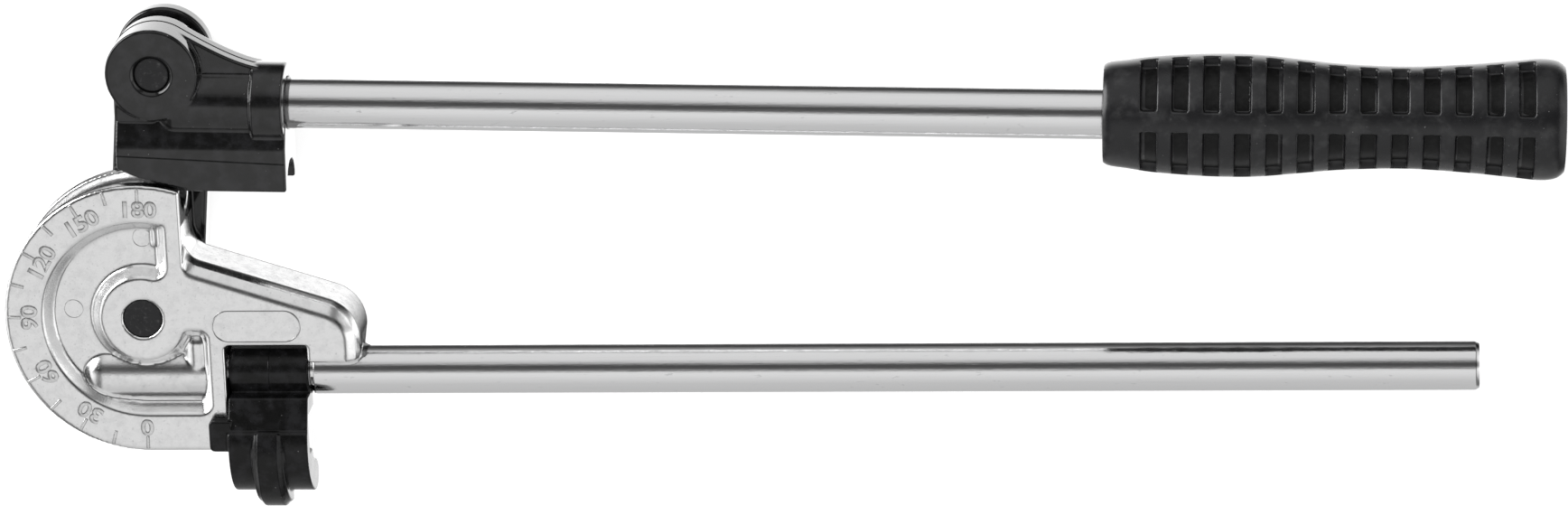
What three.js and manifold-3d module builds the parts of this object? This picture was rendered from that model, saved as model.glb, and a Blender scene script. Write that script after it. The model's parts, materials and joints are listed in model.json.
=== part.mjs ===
// Tube bending pliers: a grooved former with a degree scale, a link that swings a shoe round it,
// a latch that holds the tube, and two levers.
// Sizes are in millimetres and angles in degrees. The pliers lie on their back: +X runs along the levers,
// +Y towards the upper lever, and +Z up through the face with the scale.
// The origin is on the former's pivot axis, level with the back of the link.
import * as THREE from "three";
import { mergeVertices } from "three/addons/utils/BufferGeometryUtils.js";
import Module from "manifold-3d";

const wasm = await Module();
wasm.setup();

// Clearances
const overrun = 1; // how far a cut runs past the surface it opens
const pressGap = 0.1; // radial gap of a piece that is pressed in
const runningGap = 0.08; // radial gap of a shaft in its bearing
const sideGap = 0.25; // gap beside a washer or a turning piece

// Tube to be bent
const tubeRadius = 5;
const bendRadius = 32; // from the pivot axis to the middle of the tube
const grooveGap = 0.1;

// Former: the wheel and its foot
const formerThickness = 16.5;
const lipHeight = 0.7; // how far the flanges stand beyond the middle of the tube
const wheelFlatX = 10.3; // the wheel ends in a flat on its right
const castEdge = 0.45; // broken edges of the castings
const footEnd = 35; // end of the straight part of the groove
const scaleRingWidth = 8.9; // from the flange's rim to the pocket

// Former: the arm
const armTipLean = 0.7;
const armTopX = 28;
const armTopY = 8.6; // height of the sloping top edge at armTopX
const armSlope = 17.8;
const armFilletRadius = 5;
const armNoseShare = 0.8; // of the height of the arm's end
const armBottomRise = 4.06; // step in front of the lower handle, above the handle's axis
const armOverlap = 2; // how far the arm and the foot run into each other
const armRimWidth = 3.1; // width of the sloping rim along the top of the arm
const armRimDepth = 2.7;

// Former: the pocket in each face
const pocketDepth = 3.2;
const pocketDraft = 2.4; // how far the pocket's walls lean in
const pocketUpperX = 6.3;
const pocketRightX = 15.2;
const pocketRightTopY = -2.7;
const pocketCornerRadius = 2.7;
const bossRadius = 10; // boss round the pivot pin
const rodBossRadius = 6.6; // boss round the lower handle's spigot
const rodBossStart = -15;

// Former: the scale
const tickStep = 15;
const tickLast = 180;
const tickLength = 3.3;
const tickInset = 0.6; // from the flange's rim
const tickWidth = 0.5;
const tickHeight = 0.3;
const scaleTurn = -1.1;

// Lower handle
const handleRadius = 6;
const handleWall = 1.5;
const handleEdge = 0.9;
const lowerHandleInset = 16.84; // from the middle of the tube in to the handle's axis
const lowerHandleEnd = 311.5;
const lowerSocketDepth = 11.4; // how deep the arm holds the handle
const shoulderGap = 1.2; // from the latch to the shoulder where the spigot begins
const spigotRadius = 4;
const spigotStart = -12;
const plugLength = 7;
const springPinRadius = 1.5;
const springPinWall = 0.6;
const springPinSlot = 50; // angle of the slot along a spring pin
const springPinRecess = 0.4; // how far a spring pin's end lies below the surface
const lowerPinX = 9;
const lowerPinLength = 11.2;

// Latch. Its drops and rises are measured from the lower handle's axis.
const latchStart = 19.2;
const latchWidth = 18.8;
const latchBarrelRadius = 6.1;
const latchTopDrop = 4.44; // top edge of the plate
const latchTopStand = 0.15; // how far that edge stands out of the former's face
const latchNeckDrop = 8.94; // underside of the neck that carries the plate
const latchNeckBack = 0.5;
const latchSeatGap = 0.3; // gap between the closed latch and the former
const latchRecessRise = 8.21;
const latchTubeGap = 0.3; // between the hook and the tube
const latchWall = 4.55; // of the hook in front of the former's face
const latchLobeStart = 67; // the hook's round part, as angles round the tube from the lever's side
const latchLobeEnd = 168.5;
const latchRibWidth = 5;
const latchRibHeight = 1.8;
const latchRibDrop = 2.1; // the rib is round about a line this far below the tube
const latchRibStart = 60;
const latchRibEnd = 172;
const latchRibRoot = 1.3; // how deep the rib starts inside the hook
const latchTabWidth = 4.9;
const latchTabTopDrop = 9.84;
const latchTabBottomDrop = 17.64;
const latchTabThickness = 3.05;
const latchTabRadius = 1.2;
const latchEdge = 0.6;

// Pivot pin, link and the pieces that hold them
const pivotRadius = 4.5;
const pinEdge = 0.4;
const pinRecess = 0.3; // how far the pivot pin's front end lies below the face
const washerThickness = 0.6;
const pivotWasherRadius = 8.5;
const linkThickness = 5;
const linkRadius = 11.4;
const linkEdge = 0.5;
const bushWall = 1.4;
const ringThickness = 0.9;
const ringWidth = 2.4;
const ringGrooveDepth = 0.5; // depth of the pins' ring grooves
const ringGrooveGap = 0.1;
const ringOpening = 70;
const ringInset = 0.4; // from the link's back to the retaining ring
const counterboreWall = 3.3; // how far a rear counterbore reaches beyond its pin

// Hub, in the former's middle plane
const hubX = 5.7;
const hubRise = 27.3; // from the middle of the tube up to the hub
const hubRadius = 10.85;
const hubFrontZ = 8.2;
const hubBackZ = -5.1;
const hubPinRadius = 4;
const hubPinRecess = 0.8;
const hubCountersink = 1.2;
const linkBossRadius = 8.3;
const hubWasherRadius = 7.9;
const handleTurn = -1.23; // the upper lever's slope at rest

// Handle block, measured from the hub along the upper lever
const blockStart = -9.1;
const blockEdge = 0.5;
const socketDrop = 8.4; // from the hub down to the upper handle's axis
const socketRadius = 8.2;
const socketEnd = 30.4;
const socketDepth = 19;
const collarRadius = 9.6;
const collarLength = 7.6;
const webAngle = 59; // where the web leaves the hub
const webBendX = 18.4;
const webBendRise = 1.6;
const webEndX = 24.5;
const webEndRise = 0.9;
const webFrontZ = 3.4;
const webBackZ = -4.2;
const skirtFrontZ = 7.7;
const skirtDrop = 11.5; // step below the hub
const skirtRight = 1.5;
const skirtRadius = 2.2;
const neckHalf = 5.6; // half thickness of the neck between the hub and the shoe
const neckEnd = 12;
const shoeEnd = 30.6;
const shoeHalfWidth = 7.8;
const shoeTopHalf = 5.4;
const shoeTopDrop = 14.2;
const shoeSeamDrop = 19.8;
const shoeBottomDrop = 28;
const shoeLeftDrop = 22.8; // height of the shoe's clipped corner
const shoeKneeX = -4.6;
const shoeKneeDrop = 24.8;
const shoeReliefX = 7; // the clip clears the former's flange up to here
const shoeReliefDrop = 27.3;
const channelSag = 0.1; // how far the channel's middle hangs below the tube's at rest
const channelGap = 0.2;
const linkClearance = 0.8;
const upperPinInset = 6.6; // from the upper handle's end in the socket
const upperPinLength = 14.5;

// Upper handle and grip, measured from the hub along the upper lever
const gripStart = 219.9;
const gripLength = 105.4;
const gripRadius = 14.1;
const gripBoreGap = 0.15;
const gripEndWall = 3;
const gripEndSpace = 4.3; // between the end wall and the handle
const slotFirst = 10.5;
const slotLast = 8.5; // least distance from a slot's middle to the grip's end
const slotPitch = 7.16;
const slotWidth = 3.7;
const slotDepth = 2.2;
const spineCount = 4;
const spineWidth = 4.7;
const spineTurn = 9;
// Each row is a place along the grip and a radius, as shares of the grip's length and largest radius.
const gripShares = [
  [0, 0.8],
  [0.012, 0.845],
  [0.051, 0.885],
  [0.098, 0.935],
  [0.145, 0.965],
  [0.239, 1],
  [0.334, 0.993],
  [0.428, 0.927],
  [0.522, 0.861],
  [0.663, 0.831],
  [0.804, 0.888],
  [0.897, 0.953],
  [0.95, 0.985],
  [0.985, 0.945],
  [1, 0.85],
];

// Facets
const wheelSides = 72;
const grooveSteps = 44;
const grooveSides = 20;
const roundSides = 32;
const gripSides = 24;
const pinSides = 24;
const smallSides = 16;
const capSteps = 6;
const facetTurn = 10; // how far an arc of an outline turns in one facet
const leastStep = 0.001; // points of an outline closer than this are one point

// Sizes worked out from the ones above
const grooveRadius = tubeRadius + grooveGap;
const flangeRadius = bendRadius + lipHeight;
const pocketRadius = flangeRadius - scaleRingWidth;
const lowerHandleY = lowerHandleInset - bendRadius;
const hubY = bendRadius + hubRise;
const channelDrop = hubRise + channelSag;
const handleBore = handleRadius - handleWall;
const spigotBore = spigotRadius - handleWall;
const washerSpace = washerThickness + 2 * sideGap;
const formerHalf = formerThickness / 2;
const linkFrontZ = -formerHalf - washerSpace;
const linkBackZ = linkFrontZ - linkThickness;
const linkBossZ = hubBackZ - washerSpace;
const counterboreZ = linkBackZ + ringInset + ringThickness + washerSpace;
const middleHeight = -linkBackZ; // the former's middle plane above the surface that the pliers lie on
const latchEnd = latchStart + latchWidth;
const latchTopY = lowerHandleY - latchTopDrop;
const latchNeckY = lowerHandleY - latchNeckDrop;
const latchInnerRadius = tubeRadius + latchTubeGap;
const latchLobeRadius = formerHalf + latchWall;
const shoulderX = latchEnd + shoulderGap;
const armEndX = shoulderX + lowerSocketDepth;
const armBottomY = lowerHandleY + armBottomRise;
const socketStart = socketEnd - socketDepth;
const upperPinX = socketStart + upperPinInset;
const upperHandleEnd = gripStart + gripLength - gripEndWall - gripEndSpace;
const slotCount = Math.floor((gripLength - slotFirst - slotLast) / slotPitch) + 1;

const castAluminium = new THREE.MeshStandardMaterial({ color: 0xc9cacb, roughness: 0.35, metalness: 1 });
const plated = new THREE.MeshStandardMaterial({ color: 0xd2d3d4, roughness: 0.16, metalness: 1 });
const blackCasting = new THREE.MeshStandardMaterial({ color: 0x1d1e20, roughness: 0.3, metalness: 0.1 });
const darkSteel = new THREE.MeshStandardMaterial({ color: 0x2a2b2d, roughness: 0.42, metalness: 0.7 });
const springSteel = new THREE.MeshStandardMaterial({ color: 0x6d6f72, roughness: 0.35, metalness: 1 });
const bronze = new THREE.MeshStandardMaterial({ color: 0xa9824a, roughness: 0.4, metalness: 1 });
const blackRubber = new THREE.MeshStandardMaterial({ color: 0x202122, roughness: 0.6, metalness: 0 });

const radians = THREE.MathUtils.degToRad;
const degrees = THREE.MathUtils.radToDeg;

// The geometry as a solid that can be joined and cut.
function solid(geometry) {
  const bare = geometry.clone();
  bare.deleteAttribute("normal");
  bare.deleteAttribute("uv");
  const merged = mergeVertices(bare);
  const corners = merged.index.array;
  const kept = [];
  for (let i = 0; i < corners.length; i += 3) {
    const [a, b, c] = corners.slice(i, i + 3);
    if (a !== b && b !== c && c !== a) kept.push(a, b, c);
  }
  return new wasm.Manifold(
    new wasm.Mesh({
      numProp: 3,
      vertProperties: merged.attributes.position.array,
      triVerts: new Uint32Array(kept),
    }),
  );
}

// A finished piece: the solid's surface as a named mesh.
function piece(name, shape, material) {
  const surface = shape.getMesh();
  const geometry = new THREE.BufferGeometry();
  geometry.setAttribute("position", new THREE.BufferAttribute(surface.vertProperties, surface.numProp));
  geometry.setIndex(new THREE.BufferAttribute(surface.triVerts, 1));
  geometry.computeVertexNormals();
  const mesh = new THREE.Mesh(geometry, material);
  mesh.name = name;
  return mesh;
}

function joined(first, ...others) {
  return others.reduce((whole, other) => whole.add(other), first);
}

function cut(body, ...tools) {
  return tools.reduce((rest, tool) => rest.subtract(tool), body);
}

// A block between two corners.
function block(low, high) {
  const size = high.map((value, i) => value - low[i]);
  const centre = high.map((value, i) => (value + low[i]) / 2);
  return new THREE.BoxGeometry(...size).translate(...centre);
}

// Points along one curve of an outline: a chord for every few degrees that it turns.
function curvePoints(curve) {
  if (curve.isLineCurve) return curve.getPoints(1);
  const turn = curve.isEllipseCurve ? curve.getLength() / curve.xRadius : Math.PI / 2;
  return curve.getPoints(Math.ceil(turn / radians(facetTurn)));
}

// The outline as straight facets, with one point where two of its curves meet.
function cleaned(shape) {
  const points = shape.curves.flatMap(curvePoints);
  const apart = points.filter((point, i) => {
    const before = points[(i + points.length - 1) % points.length];
    return point.distanceTo(before) > leastStep;
  });
  return new THREE.Shape(apart);
}

// A flat shape given thickness from one height to another, with broken edges.
function slab(shape, low, high, edge = 0, edgeDepth = edge) {
  const geometry = new THREE.ExtrudeGeometry(cleaned(shape), {
    depth: high - low - 2 * edgeDepth,
    bevelEnabled: edge > 0,
    bevelThickness: edgeDepth,
    bevelSize: edge,
    bevelOffset: -edge,
    bevelSegments: 1,
  });
  return geometry.translate(0, 0, low + edgeDepth);
}

// A section drawn in (y, z) and drawn out along X.
function drawnAlongX(section, low, high, edge = 0) {
  const turn = new THREE.Matrix4().makeBasis(
    new THREE.Vector3(0, 1, 0),
    new THREE.Vector3(0, 0, 1),
    new THREE.Vector3(1, 0, 0),
  );
  return slab(section, low, high, edge).applyMatrix4(turn);
}

// A profile of [radius, height] points turned about Z. It runs upwards on its outer side.
function turned(profile, sides = roundSides) {
  const points = profile.map(([radius, height]) => new THREE.Vector2(radius, height));
  return new THREE.LatheGeometry(points, sides).rotateX(Math.PI / 2);
}

// Geometry made about Z, laid along X instead. Heights become places along X.
function laidAlongX(geometry, y = 0, z = 0) {
  return geometry.rotateY(Math.PI / 2).translate(0, y, z);
}

// The profile of a solid cylinder between two heights, with broken edges.
function pinProfile(radius, low, high, edge = 0) {
  if (edge === 0) return [[0, low], [radius, low], [radius, high], [0, high]];
  return [
    [0, low],
    [radius - edge, low],
    [radius, low + edge],
    [radius, high - edge],
    [radius - edge, high],
    [0, high],
  ];
}

// The profile of a ring between two heights, closed on itself.
function ringProfile(inner, outer, low, high) {
  return [[inner, low], [outer, low], [outer, high], [inner, high], [inner, low]];
}

function cylinderZ(radius, low, high, x = 0, y = 0, sides = roundSides) {
  return solid(turned(pinProfile(radius, low, high), sides).translate(x, y, 0));
}

function cylinderX(radius, low, high, y, sides = roundSides) {
  return solid(laidAlongX(turned(pinProfile(radius, low, high), sides), y));
}

// A closed outline through corners [x, y, radius], each rounded by an arc of its radius.
function roundedShape(corners) {
  const shape = new THREE.Shape();
  corners.forEach(([x, y, radius = 0], i) => {
    const corner = new THREE.Vector2(x, y);
    const before = corners[(i + corners.length - 1) % corners.length];
    const after = corners[(i + 1) % corners.length];
    const back = new THREE.Vector2(before[0], before[1]).sub(corner).normalize();
    const ahead = new THREE.Vector2(after[0], after[1]).sub(corner).normalize();
    const half = Math.acos(THREE.MathUtils.clamp(back.dot(ahead), -1, 1)) / 2;
    if (radius === 0) {
      if (i === 0) shape.moveTo(x, y);
      else shape.lineTo(x, y);
      return;
    }
    const start = corner.clone().addScaledVector(back, radius / Math.tan(half));
    const end = corner.clone().addScaledVector(ahead, radius / Math.tan(half));
    const middle = back.clone().add(ahead).normalize();
    const centre = corner.clone().addScaledVector(middle, radius / Math.sin(half));
    const startAngle = Math.atan2(start.y - centre.y, start.x - centre.x);
    const endAngle = Math.atan2(end.y - centre.y, end.x - centre.x);
    shape.absarc(centre.x, centre.y, radius, startAngle, endAngle, back.cross(ahead) > 0);
  });
  shape.closePath();
  return shape;
}

// A ring with a gap in it, as a flat shape.
function openRingShape(inner, outer, opening) {
  const shape = new THREE.Shape();
  const start = radians(opening / 2);
  shape.absarc(0, 0, outer, start, 2 * Math.PI - start, false);
  shape.absarc(0, 0, inner, 2 * Math.PI - start, start, true);
  shape.closePath();
  return shape;
}

// The middle line of a bent tube: round the former, then straight on along X.
class BendLine extends THREE.Curve {
  constructor(radius, startAngle, straight) {
    super();
    this.radius = radius;
    this.startAngle = radians(startAngle);
    this.arc = radius * ((3 * Math.PI) / 2 - this.startAngle);
    this.straight = straight;
  }

  getPoint(share, target = new THREE.Vector3()) {
    const place = share * (this.arc + this.straight);
    if (place > this.arc) return target.set(place - this.arc, -this.radius, 0);
    const angle = this.startAngle + place / this.radius;
    return target.set(this.radius * Math.cos(angle), this.radius * Math.sin(angle), 0);
  }
}

// The groove that guides the tube, as a solid to cut.
function grooveTool() {
  const circle = new THREE.Shape();
  circle.absarc(0, 0, grooveRadius, 0, 2 * Math.PI);
  const flatAngle = degrees(Math.acos((wheelFlatX + 2 * overrun) / bendRadius));
  const geometry = new THREE.ExtrudeGeometry(circle, {
    extrudePath: new BendLine(bendRadius, flatAngle, footEnd + overrun),
    steps: grooveSteps,
    curveSegments: grooveSides / 2,
    bevelEnabled: false,
  });
  return solid(geometry);
}

// The wheel, cut off at its flat.
function wheel() {
  const profile = pinProfile(flangeRadius, -formerHalf, formerHalf, castEdge);
  const beyondFlat = block(
    [wheelFlatX, -flangeRadius - overrun, -formerHalf - overrun],
    [flangeRadius + overrun, flangeRadius + overrun, formerHalf + overrun],
  );
  return cut(solid(turned(profile, wheelSides)), solid(beyondFlat));
}

// The foot, which carries the straight part of the groove.
function foot() {
  const outline = roundedShape([
    [0, -flangeRadius],
    [footEnd, -flangeRadius],
    [footEnd, armBottomY + armOverlap],
    [0, armBottomY + armOverlap],
  ]);
  return solid(slab(outline, -formerHalf, formerHalf, castEdge));
}

// Height of the arm's sloping top edge at a place along X.
function armTopAt(x) {
  return armTopY - (x - armTopX) * Math.tan(radians(armSlope));
}

// The arm's outline down to a given height. Its left side lies inside the wheel.
function armOutline(bottom) {
  const noseRadius = armNoseShare * (armTopAt(armEndX) - armBottomY);
  const rootTop = armTopAt(wheelFlatX) + armFilletRadius + armRimWidth;
  return roundedShape([
    [0, bottom],
    [armEndX - armTipLean, bottom],
    [armEndX, bottom + noseRadius / 2],
    [armEndX, armTopAt(armEndX), noseRadius],
    [wheelFlatX, armTopAt(wheelFlatX), armFilletRadius],
    [wheelFlatX, rootTop],
    [0, rootTop],
  ]);
}

// The arm: its top edge slopes down to the face, and behind it reaches round the lower handle.
function arm() {
  const body = solid(slab(armOutline(armBottomY), -formerHalf, formerHalf - armRimDepth, castEdge));
  const rim = solid(slab(armOutline(armBottomY - armRimWidth), 0, formerHalf, armRimWidth, armRimDepth));
  const below = block(
    [-overrun, armBottomY - armRimWidth - overrun, -overrun],
    [armEndX + overrun, armBottomY, formerHalf + overrun],
  );
  const wrap = roundedShape([
    [footEnd - armOverlap, lowerHandleY - handleRadius - castEdge],
    [armEndX - armTipLean, lowerHandleY - handleRadius - castEdge],
    [armEndX - armTipLean, armBottomY + armOverlap],
    [footEnd - armOverlap, armBottomY + armOverlap],
  ]);
  return joined(body, cut(rim, solid(below)), solid(slab(wrap, -formerHalf, 0, castEdge)));
}

// The boss round the pivot pin, wider at the pocket's floor, between two floors.
function pivotBoss(low, high) {
  const foot = bossRadius + pocketDraft;
  const profile = [
    [0, low - overrun],
    [foot, low - overrun],
    [foot, low],
    [bossRadius, low + pocketDepth],
    [bossRadius, high - pocketDepth],
    [foot, high],
    [foot, high + overrun],
    [0, high + overrun],
  ];
  return solid(turned(profile));
}

// The crescent pocket round the pivot boss, as a solid to cut from a given floor.
function pocketTool(low) {
  const shape = new THREE.Shape();
  const corner = pocketCornerRadius;
  const high = low + 2 * pocketDepth + overrun;
  shape.absarc(0, 0, pocketRadius, Math.acos(pocketUpperX / pocketRadius), (3 * Math.PI) / 2);
  shape.absarc(pocketRightX - corner, corner - pocketRadius, corner, -Math.PI / 2, 0);
  shape.absarc(pocketRightX - corner, pocketRightTopY - corner, corner, 0, Math.PI / 2);
  shape.lineTo(pocketUpperX, pocketRightTopY);
  shape.closePath();
  return cut(solid(slab(shape, low, high, pocketDraft, pocketDepth)), pivotBoss(low, high));
}

// The boss round the lower handle's spigot: a bar with a round left end.
function rodBoss() {
  const profile = [];
  for (let i = 0; i <= capSteps; i += 1) {
    const angle = ((Math.PI / 2) * i) / capSteps;
    const radius = i === 0 ? 0 : rodBossRadius * Math.sin(angle);
    profile.push([radius, rodBossStart + rodBossRadius * (1 - Math.cos(angle))]);
  }
  const end = pocketRightX + armOverlap;
  profile.push([rodBossRadius, end], [0, end]);
  return solid(laidAlongX(turned(profile), lowerHandleY));
}

// Room for the latch: round its barrel, and in front of it down to the flange that it passes.
function latchRoom() {
  const low = latchStart - latchSeatGap;
  const high = latchEnd + latchSeatGap;
  const inFront = block(
    [low, latchNeckY - latchSeatGap, latchNeckBack - latchSeatGap],
    [high, lowerHandleY + latchRecessRise, formerHalf + overrun],
  );
  return joined(
    cylinderX(latchBarrelRadius + latchSeatGap, low, high, lowerHandleY),
    solid(inFront),
  );
}

// One raised mark of the scale, at its angle from the foot.
function tick(angle) {
  const outer = flangeRadius - tickInset;
  const shape = roundedShape([
    [outer - tickLength, -tickWidth / 2],
    [outer, -tickWidth / 2],
    [outer, tickWidth / 2],
    [outer - tickLength, tickWidth / 2],
  ]);
  const geometry = slab(shape, formerHalf - castEdge, formerHalf + tickHeight);
  return solid(geometry.rotateZ(radians(270 + scaleTurn - angle)));
}

// The hole for a spring pin, a little longer than the pin.
function springPinHole(x, y, low, high) {
  return cylinderZ(springPinRadius + pressGap, low, high + sideGap, x, y, smallSides);
}

function makeFormer() {
  const ticks = [];
  for (let angle = 0; angle <= tickLast; angle += tickStep) ticks.push(tick(angle));
  const casting = cut(
    joined(wheel(), foot(), arm()),
    grooveTool(),
    pocketTool(formerHalf - pocketDepth),
    pocketTool(-formerHalf - pocketDepth - overrun),
  );
  return cut(
    joined(casting, rodBoss(), ...ticks),
    latchRoom(),
    cylinderZ(pivotRadius + pressGap, -formerHalf - overrun, formerHalf + overrun),
    cylinderX(spigotRadius + pressGap, spigotStart - sideGap, shoulderX + overrun, lowerHandleY),
    cylinderX(handleRadius + pressGap, shoulderX - sideGap, armEndX + overrun, lowerHandleY),
    springPinHole(lowerPinX, lowerHandleY, -formerHalf - overrun, lowerPinEnd()),
  );
}

// Where the lower handle's spring pin ends, above the middle plane.
function lowerPinEnd() {
  return springPinRecess - rodBossRadius + lowerPinLength;
}

// The lower handle: a tube drawn down to a spigot that runs through the latch into the former.
function makeLowerHandle() {
  const profile = [
    [spigotBore, spigotStart],
    [spigotRadius - pinEdge, spigotStart],
    [spigotRadius, spigotStart + pinEdge],
    [spigotRadius, shoulderX],
    [handleRadius - pinEdge, shoulderX],
    [handleRadius, shoulderX + pinEdge],
    [handleRadius, lowerHandleEnd - handleEdge],
    [handleRadius - handleEdge / 2, lowerHandleEnd],
    [handleBore, lowerHandleEnd],
    [handleBore, shoulderX + handleRadius],
    [spigotBore, shoulderX + handleBore],
    [spigotBore, spigotStart],
  ];
  const tube = solid(laidAlongX(turned(profile), lowerHandleY));
  const hole = springPinHole(lowerPinX, lowerHandleY, -handleRadius, handleRadius);
  return cut(tube, hole);
}

function makeLowerHandlePlug() {
  const profile = pinProfile(handleBore - pressGap, lowerHandleEnd - plugLength, lowerHandleEnd, pinEdge);
  return solid(laidAlongX(turned(profile), lowerHandleY));
}

// A spring pin: a slotted tube.
function makeSpringPin(x, y, low, length) {
  const shape = openRingShape(springPinRadius - springPinWall, springPinRadius, springPinSlot);
  return solid(slab(shape, low, low + length).translate(x, y, 0));
}

// The hook's section in (y, z): a plate before the flange, then a round hook under the tube.
function hookSection() {
  const shape = new THREE.Shape();
  const tubeY = -bendRadius;
  const lipRadius = (latchLobeRadius - latchInnerRadius) / 2;
  const lipReach = latchInnerRadius + lipRadius;
  const lipAngle = radians(latchLobeEnd);
  const flangeEnd = -flangeRadius - latchSeatGap;
  const innerEnd = Math.acos((flangeEnd - tubeY) / latchInnerRadius);
  const wallBack = formerHalf + 2 * latchSeatGap;
  shape.moveTo(latchTopY, latchNeckBack);
  shape.lineTo(latchTopY, formerHalf + latchTopStand);
  shape.absarc(tubeY, 0, latchLobeRadius, radians(latchLobeStart), lipAngle);
  shape.absarc(
    tubeY + lipReach * Math.cos(lipAngle),
    lipReach * Math.sin(lipAngle),
    lipRadius,
    lipAngle,
    lipAngle + Math.PI,
  );
  shape.absarc(tubeY, 0, latchInnerRadius, lipAngle, innerEnd, true);
  shape.lineTo(flangeEnd, wallBack);
  shape.lineTo(latchNeckY, wallBack);
  shape.lineTo(latchNeckY, latchNeckBack);
  shape.closePath();
  return shape;
}

// The rib on the hook that the thumb pushes: a crescent in (y, z).
function ribSection() {
  const shape = new THREE.Shape();
  const tubeY = -bendRadius;
  const root = latchLobeRadius - latchRibRoot;
  const start = radians(latchRibStart);
  const end = radians(latchRibEnd);
  shape.absarc(tubeY - latchRibDrop, 0, latchLobeRadius + latchRibHeight, start, end);
  shape.absarc(tubeY, 0, root, end, start, true);
  shape.closePath();
  return shape;
}

function makeLatch() {
  const middle = latchStart + latchWidth / 2;
  const barrel = turned(pinProfile(latchBarrelRadius, latchStart, latchEnd, latchEdge / 2));
  const rib = drawnAlongX(ribSection(), middle - latchRibWidth / 2, middle + latchRibWidth / 2, latchEdge);
  const tabTop = lowerHandleY - latchTabTopDrop;
  const tabBottom = lowerHandleY - latchTabBottomDrop;
  const tabBack = formerHalf + latchSeatGap;
  const tab = roundedShape([
    [latchStart - latchTabWidth, tabTop, latchTabRadius],
    [latchStart - latchTabWidth, tabBottom, latchTabRadius],
    [latchStart + latchEdge, tabBottom],
    [latchStart + latchEdge, tabTop],
  ]);
  return cut(
    joined(
      solid(laidAlongX(barrel, lowerHandleY)),
      solid(drawnAlongX(hookSection(), latchStart, latchEnd, latchEdge)),
      solid(rib),
      solid(slab(tab, tabBack, tabBack + latchTabThickness, latchEdge)),
    ),
    cylinderX(spigotRadius + runningGap, latchStart - overrun, latchEnd + overrun, lowerHandleY),
  );
}

// A headless pin with a groove for its retaining ring near the rear end.
function makePin(radius, front) {
  const grooveLow = linkBackZ + ringInset - ringGrooveGap;
  const grooveHigh = linkBackZ + ringInset + ringThickness + ringGrooveGap;
  const profile = [
    [0, linkBackZ],
    [radius, linkBackZ],
    [radius, grooveLow],
    [radius - ringGrooveDepth, grooveLow],
    [radius - ringGrooveDepth, grooveHigh],
    [radius, grooveHigh],
    [radius, front - pinEdge],
    [radius - pinEdge, front],
    [0, front],
  ];
  return solid(turned(profile, pinSides));
}

function makeWasher(inner, outer, low) {
  return solid(turned(ringProfile(inner + runningGap, outer, low, low + washerThickness), pinSides));
}

// A bearing sleeve in one eye of the link, from the counterbore to the front of the eye.
function makeBush(pinRadius, top) {
  const inner = pinRadius + runningGap;
  return solid(turned(ringProfile(inner, inner + bushWall, counterboreZ, top), pinSides));
}

// The washer between a bush and its retaining ring.
function makeEndWasher(pinRadius) {
  const low = linkBackZ + ringInset + ringThickness + sideGap;
  return makeWasher(pinRadius, pinRadius + counterboreWall - 2 * sideGap, low);
}

function makeRetainingRing(pinRadius) {
  const inner = pinRadius - ringGrooveDepth + pressGap;
  const low = linkBackZ + ringInset;
  const shape = openRingShape(inner, inner + ringWidth, ringOpening);
  return solid(slab(shape, low, low + ringThickness));
}

// The stepped hole through one eye of the link.
function eyeHole(pinRadius, x, y) {
  const bushRadius = pinRadius + runningGap + bushWall + pressGap;
  const through = cylinderZ(bushRadius, linkBackZ - overrun, linkBossZ + overrun, x, y);
  const counterbore = cylinderZ(pinRadius + counterboreWall, linkBackZ - overrun, counterboreZ, x, y);
  return joined(through, counterbore);
}

// The link: a flat bar with a round eye at each end, and a boss under the hub.
function makeLink() {
  const shape = new THREE.Shape();
  const side = Math.atan2(hubY, hubX) + Math.PI / 2;
  shape.absarc(0, 0, linkRadius, side, side + Math.PI);
  shape.absarc(hubX, hubY, linkRadius, side + Math.PI, side + 2 * Math.PI);
  shape.closePath();
  return cut(
    joined(
      solid(slab(shape, linkBackZ, linkFrontZ, linkEdge)),
      cylinderZ(linkBossRadius, linkFrontZ - linkEdge, linkBossZ, hubX, hubY),
    ),
    eyeHole(pivotRadius, 0, 0),
    eyeHole(hubPinRadius, hubX, hubY),
  );
}

// The web that runs from the hub down to the collar, hollowed along its top edge.
function web() {
  const shape = new THREE.Shape();
  const angle = radians(webAngle);
  shape.moveTo(hubRadius * Math.cos(angle), hubRadius * Math.sin(angle));
  shape.quadraticCurveTo(webBendX, webBendRise, webEndX, webEndRise);
  shape.lineTo(webEndX, -socketDrop);
  shape.lineTo(0, -socketDrop);
  shape.closePath();
  return solid(slab(shape, webBackZ, webFrontZ, blockEdge));
}

// The socket of the upper handle, with a collar at its mouth.
function socket() {
  const neck = turned(pinProfile(socketRadius, 0, socketEnd - blockEdge));
  const collar = turned(pinProfile(collarRadius, socketEnd - collarLength, socketEnd, blockEdge));
  return joined(solid(laidAlongX(neck, -socketDrop)), solid(laidAlongX(collar, -socketDrop)));
}

// The skirt and the neck under the hub, which carry the shoe.
function underHub() {
  const skirt = roundedShape([
    [blockStart, 0],
    [blockStart, -skirtDrop],
    [skirtRight, -skirtDrop, skirtRadius],
    [skirtRight + skirtRadius, 0],
  ]);
  const neck = roundedShape([
    [-socketDrop, neckHalf],
    [-socketDrop, hubBackZ],
    [-shoeTopDrop - blockEdge, hubBackZ],
    [-shoeTopDrop - blockEdge, neckHalf],
  ]);
  return joined(
    solid(slab(skirt, hubBackZ, skirtFrontZ, blockEdge)),
    solid(drawnAlongX(neck, blockStart, neckEnd, blockEdge)),
  );
}

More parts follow.
